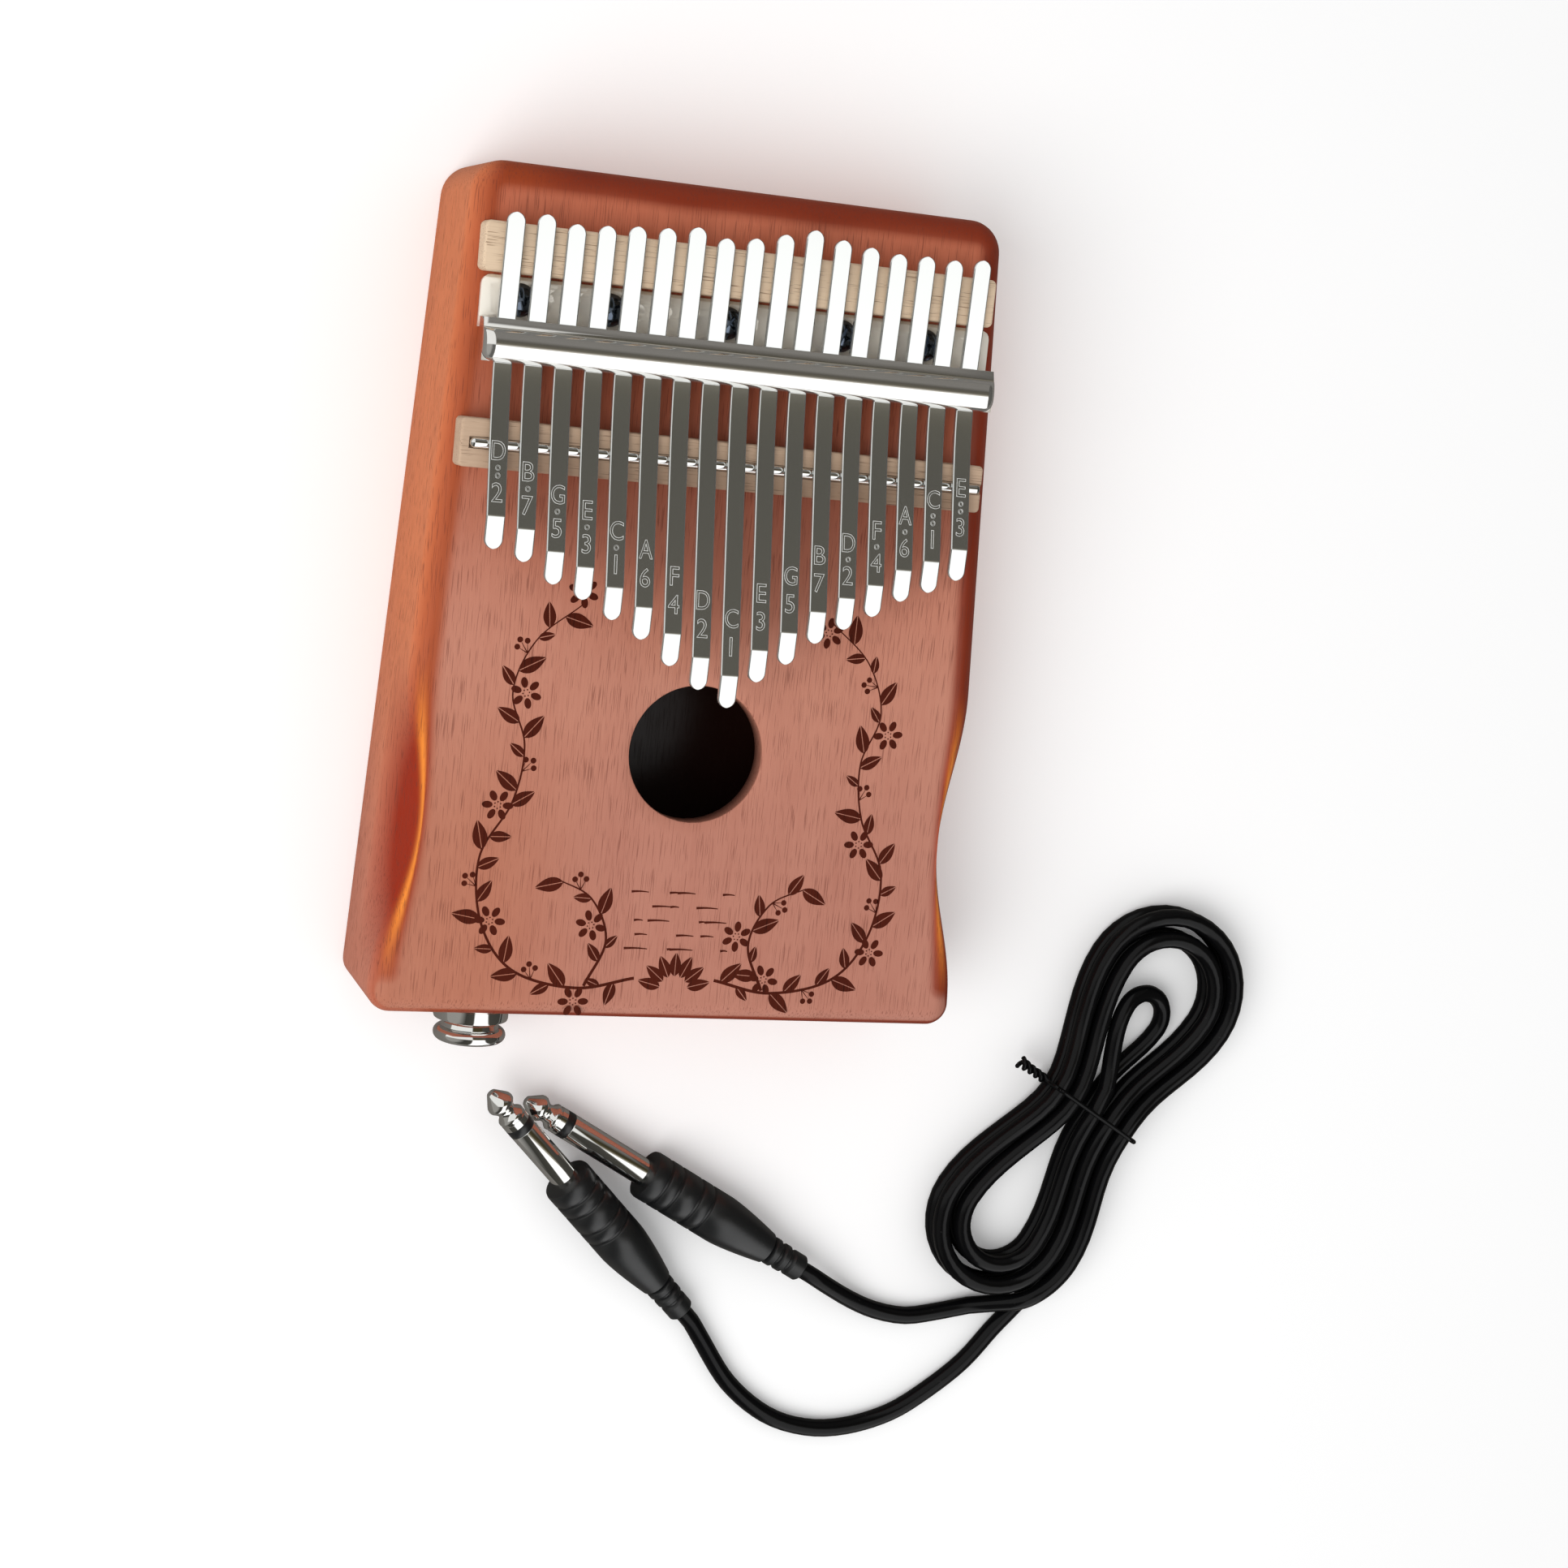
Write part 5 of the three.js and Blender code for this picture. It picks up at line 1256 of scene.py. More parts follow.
@dataclass
class Lead:
    """The instrument lead: two plugs, the cable in its hank, and the wire that ties it."""

    radius: float = 2.1
    plug_a: Plug = field(default_factory=lambda: Plug("a", 29.0, (19.6, -165.0, 3.2), -46.05, 6.5))
    plug_b: Plug = field(default_factory=lambda: Plug("b", 34.0, (47.0, -154.2, 5.9), -29.7, 0.0))
    hank: Hank = field(default_factory=Hank)
    route_a: tuple[Place, ...] = (
        (25.2, -172.0, 2.35), (33.3, -183.4, 2.1), (43.5, -191.5, 2.1), (53.9, -195.0, 2.1),
        (64.2, -195.0, 2.1), (75.2, -191.9, 2.1), (84.2, -186.4, 2.1), (92.9, -179.3, 2.1),
    )
    route_b: tuple[Place, ...] = (
        (54.4, -158.7, 4.9), (61.5, -162.9, 3.1), (68.6, -166.0, 2.2), (76.6, -167.5, 2.1),
    )
    spacing: float = 2.5
    tie_radius: float = 0.55
    tie_gap: float = 0.4
    tie_corner: float = 3.0
    tie_spacing: float = 0.8
    twist_gap: float = 1.0
    twist_lift: float = 1.0
    tail_length: float = 8.0
    tail_turns: float = 2.2
    tail_radius: float = 0.75
    tail_open: float = 1.6

    def _stretch(self, plug: Plug, route: Sequence[Place], near: Vector, inner: Vector) -> list[Vector]:
        """Returns the line from a plug to the hank.

        Args:
            plug: The plug.
            route: Where the cable lies on the table.
            near: The hank's end.
            inner: The hank's next point.

        Returns:
            The line's points.
        """
        start = Vector(plug.end)
        points = [start, start + plug.direction * 2 * self.radius]
        points += [Vector(place) for place in route]
        points += [near - (inner - near).normalized() * 2 * self.radius, near]
        return catmull(points, self.spacing)

    def _cable(self, pieces: list[bpy.types.Object]) -> None:
        """Lays the cable from plug to plug as one cord.

        Args:
            pieces: The plugs' pieces, passed on to the cord, which does not use them.
        """
        coil = self.hank.line()
        first = self._stretch(self.plug_a, self.route_a, coil[0], coil[1])
        last = self._stretch(self.plug_b, self.route_b, coil[-1], coil[-2])
        cord_piece(
            "lead_cable", [*first[:-1], *coil, *last[-2::-1]], self.radius, "lead", "black_rubber",
            ["cable_stretch_a", "cable_hank", "cable_stretch_b"],
            far_end="plug", stiffness="medium", lay="coiled", with_pieces=pieces,
        )

    def _tail(self, left: float, middle: float, turn: float) -> list[Place]:
        """Returns one twisted tail of the tie, from its end to the hank.

        Args:
            left: The side of the hank.
            middle: The height of the twist.
            turn: Where the tail starts round the twist, in radians.

        Returns:
            Places as (along, across, height).
        """
        points = []
        steps = 20
        for share in (number / steps for number in range(steps + 1)):
            radius = self.tail_radius + self.tail_open * max(0.0, 0.3 - share)
            along, height = polar(0.0, middle, radius, turn + 2 * math.pi * self.tail_turns * share)
            points.append((along, left - self.tail_length * (1 - share), height))
        return points

    def _tie(self) -> None:
        """Ties the hank round its waist, with both tails twisted out on the left."""
        hank, corner, low = self.hank, self.tie_corner, self.tie_radius
        room = self.radius + self.tie_gap + self.tie_radius
        right, left = hank.run_width(0.125, 0) + room, -hank.run_width(0.625, 0) - room
        high = self.radius + hank.layer_pitch + hank.tie_lift + room
        middle = (low + high) / 2 + self.twist_lift
        places = self._tail(left - self.twist_gap, middle, 0.0)
        for turns, (across, height) in enumerate((
            (left + corner, high - corner), (right - corner, high - corner),
            (right - corner, low + corner), (left + corner, low + corner),
        )):
            bend = arc(across, height, corner, QUARTER * (2 - turns), QUARTER * (1 - turns), 6)
            places += [(0.0, *place) for place in bend]
        places += reversed(self._tail(left - self.twist_gap, middle, math.pi))
        line = catmull([hank.point(*place) for place in places], self.tie_spacing)
        cord_piece(
            "tie_wire", line, self.tie_radius, "lead", "black_plastic", ["twist_tie"],
            far_end="bare", stiffness="medium", lay="coiled",
        )

    def build(self) -> None:
        """Makes the lead."""
        self._cable(self.plug_a.build() + self.plug_b.build())
        self._tie()


# Sound box


@dataclass
class SoundBox:
    """The hollow body with its hand rests and sound hole, its back panel and its inner block."""

    length: float = 177.0
    rear_width: float = 115.6
    front_width: float = 131.8
    height: float = 35.0
    rear_corner: float = 7.0
    front_corner: float = 5.0
    least_corner: float = 1.2
    face_edge: float = 4.5
    back_edge: float = 1.5
    face_thickness: float = 5.0
    side_wall: float = 9.0
    end_wall: float = 12.0
    cavity_corner: float = 9.0
    ledge: float = 4.0
    panel_room: float = 3.3
    rest_depth: float = 6.3
    rest_floor: float = 15.5
    rest_rear: float = -13.0
    rest_deepest: float = -49.0
    rest_front: float = -82.0
    hole_radius: float = 14.7
    hole_y: float = -29.9
    hole_edge: float = 0.5
    stain_rings: tuple[float, ...] = (0.5, 1.2, 2.2, 3.6, 6.0, 10.0, 16.0)
    stain_fade: float = 3.6
    shade_fade: float = 1.2
    # Where the painted highlight band lies over the rounded face edge, and how wide it is.
    highlight_place: float = 0.72
    highlight_spread: float = 0.2
    jack_hole: float = 6.3
    corner_steps: int = 10
    side_steps: int = 44
    end_steps: int = 14

    @property
    def slope(self) -> float:
        """How much wider half the body gets for each millimetre towards the front."""
        return (self.front_width - self.rear_width) / 2 / self.length

    def half_width(self, y: float) -> float:
        """Returns half the body's width at a distance along it."""
        return self.rear_width / 2 + (self.length / 2 - y) * self.slope

    def rest(self, y: float, z: float) -> float:
        """Finds how far the hand rest cuts into a side wall.

        Args:
            y: The distance along the body.
            z: The height.

        Returns:
            The depth of the cut.
        """
        end = self.rest_rear if y > self.rest_deepest else self.rest_front
        along = min(abs((y - self.rest_deepest) / (end - self.rest_deepest)), 1.0)
        rise = max((z - self.rest_floor) / (self.height - self.rest_floor), 0.0)
        return self.rest_depth * math.cos(along * QUARTER) ** 2 * rise**1.2

    def ring(
        self, z: float, side: float, end: float, rear_corner: float, front_corner: float, rests: bool = True
    ) -> list[Vector]:
        """Returns the body's plan at a height, counted anticlockwise from the rear right corner.

        Args:
            z: The height.
            side: How far the plan lies inside the side walls.
            end: How far it lies inside the end walls.
            rear_corner: The radius of the rear corners.
            front_corner: The radius of the front corners.
            rests: True where the hand rests cut in.

        Returns:
            The plan's places.
        """
        tilt = math.atan(self.slope)
        rear_centre = self.length / 2 - end - rear_corner
        front_centre = end + front_corner - self.length / 2
        turns = (tilt, QUARTER, 2 * QUARTER - tilt, 3 * QUARTER, 4 * QUARTER + tilt)

        def corner(number: int) -> list[Vector]:
            """Draws one corner's arc.

            Args:
                number: The corner's number from the rear right.

            Returns:
                The arc's places.
            """
            radius, y = (rear_corner, rear_centre) if number < 2 else (front_corner, front_centre)
            x = self.half_width(y) - (side + radius) / math.cos(tilt)
            x = x if number in (0, 3) else -x
            places = arc(x, y, radius, turns[number], turns[number + 1], self.corner_steps)
            return [Vector((*place, z)) for place in places]

        def wall(first: Vector, last: Vector) -> list[Vector]:
            """Returns the places between two corners of an end wall."""
            return [first.lerp(last, step / self.end_steps) for step in range(1, self.end_steps)]

        def run(sign: int) -> list[Vector]:
            """Draws one side wall's places from the rear to the front.

            Args:
                sign: 1 for the right wall and -1 for the left.

            Returns:
                The places.
            """
            found = []
            rear_y = min(self.rest_rear + 4, rear_centre - 1)
            front_y = max(self.rest_front - 0.8, front_centre + 0.2)
            levels = [lerp(rear_centre, rear_y, step / self.end_steps) for step in range(1, self.end_steps)]
            levels += [lerp(rear_y, front_y, step / self.side_steps) for step in range(self.side_steps + 1)]
            for y in levels:
                inner = lerp(1.0, 0.3, min(side / self.face_edge, 1.0))
                keep = inner * ease((y - front_centre) / max(side, 0.01))
                cut = self.rest(y, z) * keep if rests else 0.0
                found.append(Vector((sign * (self.half_width(y) - side / math.cos(tilt) - cut), y, z)))
            return found

        corners = [corner(number) for number in range(4)]
        return [
            *corners[0], *wall(corners[0][-1], corners[1][0]), *corners[1], *run(-1),
            *corners[2], *wall(corners[2][-1], corners[3][0]), *corners[3], *reversed(run(1)),
        ]

    def outer(self, inset: float, z: float) -> list[Vector]:
        """Returns the outer plan at a height, a distance inside the walls."""
        corners = (max(radius - inset, self.least_corner) for radius in (self.rear_corner, self.front_corner))
        return self.ring(z, inset, inset, *corners)

    def hole(self, radius: float, z: float) -> list[Vector]:
        """Draws a circle round the hole's centre whose points face those of the outer plan.

        Args:
            radius: The circle's radius.
            z: Its height.

        Returns:
            The circle's points.
        """
        return [
            Vector((*polar(0.0, self.hole_y, radius, math.atan2(point.y - self.hole_y, point.x)), z))
            for point in self.outer(self.face_edge + self.stain_rings[-1], self.height)
        ]

    def shade(self, ring: Sequence[Vector], z: float) -> list[float]:
        """Returns how dark the painted shade is in the hand rests, for each place of a ring."""
        cuts = [self.rest(point.y, z) / self.rest_depth if abs(point.x) > 40 else 0.0 for point in ring]
        return [min(1.0, 1.7 * cut**0.7) for cut in cuts]

    def stain(self, ring: Sequence[Vector], share: float) -> list[float]:
        """Finds how strong the edge stain is.

        Args:
            ring: A ring's places.
            share: How far the ring lies over the face's rounded edge.

        Returns:
            The stain's strength for each place.
        """
        front = -self.length / 2 + 2 * self.face_edge
        return [
            lerp(1.0 - 0.3 * share**2, 1.0 - ease((share - 0.4) / 0.2), ease((front - point.y) / 4))
            for point in ring
        ]

    def _edge(self, skin: Skin) -> None:
        """Grows the body's skin over the face's rounded edge and in over the stained border.

        Args:
            skin: The body's skin, grown up to the edge.
        """
        top, steps = self.height - self.face_edge, 10
        for number, (rise, inward) in enumerate(quarter(steps)):
            z = top + self.face_edge * rise
            ring = self.outer(self.face_edge * inward, z)
            share = number / steps
            shade = self.shade(ring, z)
            # Painted highlight: a band part way over the rounded edge, strongest where the hand rests cut
            # deepest.
            glow = math.exp(-(((share - self.highlight_place) / self.highlight_spread) ** 2))
            bright = [value * glow for value in shade]
            skin.grow(ring, edge_stain=self.stain(ring, share), rest_shade=shade, rest_glow=bright)
        for inset in self.stain_rings:
            ring = self.outer(self.face_edge + inset, self.height)
            fade, tail = (max(0.0, 1 - inset / reach) for reach in (self.stain_fade, self.shade_fade))
            skin.grow(
                ring,
                edge_stain=[value * fade**1.5 for value in self.stain(ring, 1.0)],
                rest_shade=[value * tail for value in self.shade(ring, self.height)],
                rest_glow=0.0,
            )

    def _shell(self) -> None:
        """Makes the body as one closed skin, out over the face and back through the box."""
        blank = Blank()
        lip = self.side_wall - self.ledge, self.end_wall - self.ledge
        seat = *lip, self.cavity_corner + self.ledge, self.cavity_corner + self.ledge, False
        cavity = self.side_wall, self.end_wall, self.cavity_corner, self.cavity_corner, False
        start = self.ring(0.0, *seat)
        layers = {"edge_stain": 1.0, "rest_shade": 0.0, "rest_glow": 0.0, "box_inside": 0.0}
        skin = Skin(blank.bm, start, layers)
        for rise, inward in quarter(4):
            ring = self.outer(self.back_edge * (1 - rise), self.back_edge * inward)
            skin.grow(ring, edge_stain=1.0, rest_shade=0.0)
        for step in range(10):
            z = lerp(self.rest_floor, self.height - self.face_edge, step / 10)
            ring = self.outer(0.0, z)
            skin.grow(ring, edge_stain=1.0, rest_shade=self.shade(ring, z))
        self._edge(skin)
        under, room = self.height - self.face_thickness, self.panel_room
        for wider, lower in ((self.hole_edge + 3.0, 0.0), (self.hole_edge, 0.0), (0.15, 0.15)):
            ring = self.hole(self.hole_radius + wider, self.height - lower)
            skin.grow(ring, edge_stain=0.0, rest_shade=0.0)
        # Painted shade: from here on, the hole's wall and the box's inside darken to near black.
        skin.grow(self.hole(self.hole_radius, self.height - self.hole_edge), box_inside=0.35)
        skin.grow(self.hole(self.hole_radius, under), box_inside=0.9)
        for ring in (self.ring(under, *cavity), self.ring(room, *cavity), self.ring(room, *seat), start):
            skin.grow(ring, edge_stain=1.0, box_inside=1.0)
        box = blank.finish("body_box", "body", "mahogany", Finish.MAHOGANY, ["body_shell"], 28.0)
        self._bore(box)
        LOG.info("body made, %.0f by %.1f by %.0f mm", self.length, self.front_width, self.height)

    def _bore(self, box: bpy.types.Object) -> None:
        """Bores the jack's hole through the front wall.

        Args:
            box: The body.
        """
        low, high = node_box("jack_barrel")
        start = Vector(((low.x + high.x) / 2, -self.length / 2 - 1, (low.z + high.z) / 2))
        cutter = Blank()
        cutter.rod(self.jack_hole, self.end_wall + 2, start, Vector((0, 1, 0)), 48)
        cutter.cut_from(box)

    def build(self) -> None:
        """Makes the sound box."""
        self._shell()
        smooth_copy("back_panel", "back_board", Finish.BOARD, "mahogany", 0.3)
        dress_node("bridge_block", Finish.BLOCK)


@dataclass
class Engraving:
    """The burnt garland on the face: leafy vines with blossoms and berries, and ripples."""

    face_z: float = 35.0
    proud: float = 0.02
    stem: float = 0.34
    stem_end: float = 0.35
    leaf_length: float = 6.4
    leaf_width: float = 1.5
    leaf_pitch: float = 3.7
    rib: float = 0.09
    berry: float = 0.62
    berry_stem: float = 0.12
    petal_reach: float = 2.35
    petal_radius: float = 0.78
    petal_stretch: float = 1.55
    stamen_reach: float = 0.75
    stamen_radius: float = 0.16
    blossom_reach: float = 3.4
    blossom_size: float = 0.95
    vine: tuple[Flat, ...] = (
        (9.0, -79.0), (22.0, -81.5), (36.0, -78.0), (43.5, -68.0), (45.0, -54.0), (39.0, -42.0),
        (37.5, -30.0), (41.0, -19.0), (37.0, -8.0), (28.0, 0.0),
    )
    line_spacing: float = 0.8
    swing: float = 0.85
    swing_change: float = 0.25
    sprig: tuple[Flat, ...] = ((20.0, -81.0), (16.0, -71.0), (20.0, -62.0), (28.0, -58.0))
    fan: Flat = (0.0, -81.5)
    fan_radius: float = 3.2
    ripple: float = 0.26
    ripple_y: float = -72.5
    ripple_rows: float = 3.1
    ripple_pitch: float = 6.2

    def _level(self, blank: Blank) -> float:
        """Returns the next mark's height, so that no two that cross lie in one plane."""
        return self.face_z + self.proud + 0.005 * (len(blank.bm.verts) % 13)

    def _place(
        self, blank: Blank, verts: Sequence[bmesh.types.BMVert], x: float, y: float, turn: float
    ) -> None:
        """Turns new vertices about Z and moves them onto the face."""
        bmesh.ops.rotate(blank.bm, cent=(0, 0, 0), matrix=Matrix.Rotation(turn, 3, "Z"), verts=verts)
        bmesh.ops.translate(blank.bm, vec=(x, y, self._level(blank)), verts=verts)

    def _dot(
        self, blank: Blank, x: float, y: float, radius: float, stretch: float = 1.0, turn: float = 0.0
    ) -> None:
        """Adds a round or oval dot."""
        made = bmesh.ops.create_circle(blank.bm, cap_ends=True, segments=14, radius=radius)["verts"]
        bmesh.ops.scale(blank.bm, vec=(stretch, 1, 1), verts=made)
        self._place(blank, made, x, y, turn)

    @staticmethod
    def _strip(blank: Blank, count: int) -> list[bmesh.types.BMVert]:
        """Adds a flat strip of some faces along X, a millimetre square, and returns its vertices."""
        return bmesh.ops.create_grid(blank.bm, x_segments=count, y_segments=1, size=0.5)["verts"]

    def _leaf(self, blank: Blank, x: float, y: float, turn: float, size: float = 1.0) -> None:
        """Adds a leaf as two halves with a bare midrib between them.

        Args:
            blank: The mesh.
            x: The mark's place to the right.
            y: Its place towards the rear.
            turn: Its turn about Z in radians.
            size: Its size, 1 for a full one.
        """
        for side in (1, -1):
            made = self._strip(blank, 10)
            for vert in made:
                share = vert.co.x + 0.5
                swell = math.sin(math.pi * share**0.8) ** 0.9 if 0 < share < 1 else 0.0
                outside = self.leaf_width * size * swell if vert.co.y > 0 else 0.0
                vert.co = Vector((share * self.leaf_length * size, side * (self.rib + outside), 0))
            self._place(blank, made, x, y, turn)

    def _blossom(self, blank: Blank, x: float, y: float, turn: float) -> None:
        """Adds a blossom of six petals round a ring of stamens.

        Args:
            blank: The mesh.
            x: The mark's place to the right.
            y: Its place towards the rear.
            turn: Its turn about Z in radians.
        """
        size = self.blossom_size
        for angle in (turn + math.pi / 3 * number for number in range(6)):
            petal = polar(x, y, self.petal_reach * size, angle)
            self._dot(blank, *petal, self.petal_radius * size, self.petal_stretch, angle)
            self._dot(blank, *polar(x, y, self.stamen_reach * size, angle + 0.5), self.stamen_radius)

    def _stem(self, blank: Blank, line: Sequence[Vector], thick: float) -> None:
        """Adds a tapered stem along a line.

        Args:
            blank: The mesh.
            line: The stem's line on the face.
            thick: Half its width where it starts.
        """
        last = len(line) - 1
        level = self._level(blank)
        for vert in self._strip(blank, last):
            number = round((vert.co.x + 0.5) * last)
            ahead = line[min(number + 1, last)] - line[max(number - 1, 0)]
            across = Vector((-ahead.y, ahead.x, 0)).normalized()
            half = thick * lerp(1.0, self.stem_end, number / last) * (1 if vert.co.y > 0 else -1)
            vert.co = line[number] + across * half
            vert.co.z = level

    def _vine(self, blank: Blank, points: Sequence[Flat], side: int, seed: float) -> None:
        """Adds one leafy vine.

        Args:
            blank: The mesh.
            points: Where the vine runs.
            side: 1 for the right side of the face and -1 for the left.
            seed: Shifts the leaves, blossoms and berries along it.
        """
        line = catmull([Vector((side * x, y, 0)) for x, y in points], self.line_spacing)
        self._stem(blank, line, self.stem)
        travelled, due, number = 0.0, self.leaf_pitch * seed, 0
        for here, ahead in zip(line, line[1:]):
            travelled += (ahead - here).length
            if travelled < due:
                continue
            due += self.leaf_pitch
            number += 1
            heading = math.atan2(ahead.y - here.y, ahead.x - here.x)
            swing = self.swing + self.swing_change * math.sin(number * 2.4)
            lean = heading + (swing if number % 2 else -swing)
            if number % 7 == 3:
                self._blossom(blank, *polar(here.x, here.y, self.blossom_reach, lean), heading)
            elif number % 7 == 6:
                for berry in range(3):
                    x, y = polar(here.x, here.y, 2.6 + 0.7 * (berry % 2), lean + 0.5 * (berry - 1))
                    self._dot(blank, x, y, self.berry)
                    self._stem(blank, [here, here.lerp(Vector((x, y, 0)), 0.8)], self.berry_stem)
            else:
                self._leaf(blank, here.x, here.y, lean, 0.78 + 0.22 * math.sin(number * 1.7 + seed))

    def _ripples(self, blank: Blank) -> None:
        """Adds short ripples in rows over the lower middle.

        Args:
            blank: The mesh.
        """
        for row in range(5):
            y = self.ripple_y + self.ripple_rows * row
            for number in range(4 - row % 2):
                shift = 2.2 * math.sin(row * 4.7 + number * 2.3)
                x = (number - 1.5 + 0.5 * (row % 2)) * self.ripple_pitch + shift
                half = 1.7 + 0.9 * math.cos(row * 1.9 + number * 3.1)
                line = [
                    Vector((x + half * (step / 4 - 1), y + 0.12 * math.sin(step * math.pi / 8), 0))
                    for step in range(9)
                ]
                self._stem(blank, line, self.ripple)

    def build(self) -> None:
        """Makes the engraving as one thin burnt layer."""
        blank = Blank()
        for side, seed in ((1, 0.6), (-1, 1.3)):
            self._vine(blank, self.vine, side, seed)
            self._vine(blank, self.sprig, side, seed + 0.4)
        for turn in (math.pi * (0.08 + 0.14 * number) for number in range(7)):
            self._leaf(blank, *polar(*self.fan, self.fan_radius, turn), turn, 0.8)
        self._ripples(blank)
        blank.finish("face_engraving", "body", "mahogany", Finish.BURNT)
        LOG.info("engraving made")


# Bridges


@dataclass
class Bridge:
    """A wooden bar across the face, with rounded ends and an eased top."""

    name: str
    node: str
    finish: Finish
    corner: float
    edge: float = 0.6
    groove: float = 0.0
    groove_left: float = 0.0

    def _ring(self, inset: float, z: float) -> list[Vector]:
        """Draws the bar's plan at a height.

        Args:
            inset: How far it lies inside the bar's sides.
            z: The height.

        Returns:
            The plan's places.
        """
        low, high = node_box(self.node)
        radius = max(self.corner - inset, 0.3)
        room = inset + radius
        left, right, front, rear = low.x + room, high.x - room, low.y + room, high.y - room
        places = []
        for turns, (x, y) in enumerate(((right, rear), (left, rear), (left, front), (right, front))):
            places += arc(x, y, radius, QUARTER * turns, QUARTER * (turns + 1), 8)
        return [Vector((*place, z)) for place in places]

    def build(self) -> None:
        """Makes the bar, with a groove for the rod where it has one."""
        low, high = node_box(self.node)
        edge = self.edge
        rounding = [self._ring(edge * inward, high.z - edge * (1 - rise)) for rise, inward in quarter(5)]
        blank = Blank()
        blank.loft([self._ring(0.0, low.z), *rounding])
        piece = blank.finish(self.name, "body", "beech", self.finish, [self.node], 40.0)
        if self.groove > 0:
            cutter = Blank()
            start = Vector((self.groove_left, (low.y + high.y) / 2, high.z))
            cutter.rod(self.groove, high.x + 5 - self.groove_left, start, Vector((1, 0, 0)), 32)
            cutter.cut_from(piece)
        LOG.info("%s made", self.name)


@dataclass
class Bridges:
    """The rear and front bridges, and the steel rod in the front one's groove."""

    rod_radius: float = 1.1
    rod_round: float = 1.0
    groove_room: float = 0.1

    def build(self) -> None:
        """Makes the bridges and the rod."""
        low, high = node_box("bridge_rod")
        radius, edge, length, room = self.rod_radius, self.rod_round, high.x - low.x, self.groove_room
        Bridge("rear_bar", "rear_bridge", Finish.BEECH, 1.2).build()
        Bridge(
            "front_bar", "front_bridge", Finish.DARKER_BEECH, 1.0,
            groove=radius + room, groove_left=low.x - room,
        ).build()
        outline = [(0.0, 0.0)]
        outline += [(radius - edge * (1 - rise), edge * inward) for rise, inward in quarter(5)]
        outline += [(radius - edge * inward, length - edge * (1 - rise)) for rise, inward in quarter(5)]
        outline.append((0.0, length))
        blank = Blank()
        start = Vector((low.x, (low.y + high.y) / 2, (low.z + high.z) / 2))
        blank.turn(outline, start, Vector((1, 0, 0)), 40)
        blank.finish("front_rod", "body", "chrome", Finish.CHROME, ["bridge_rod"], 40.0)
        LOG.info("rod %.1f mm long", length)


# Bracket


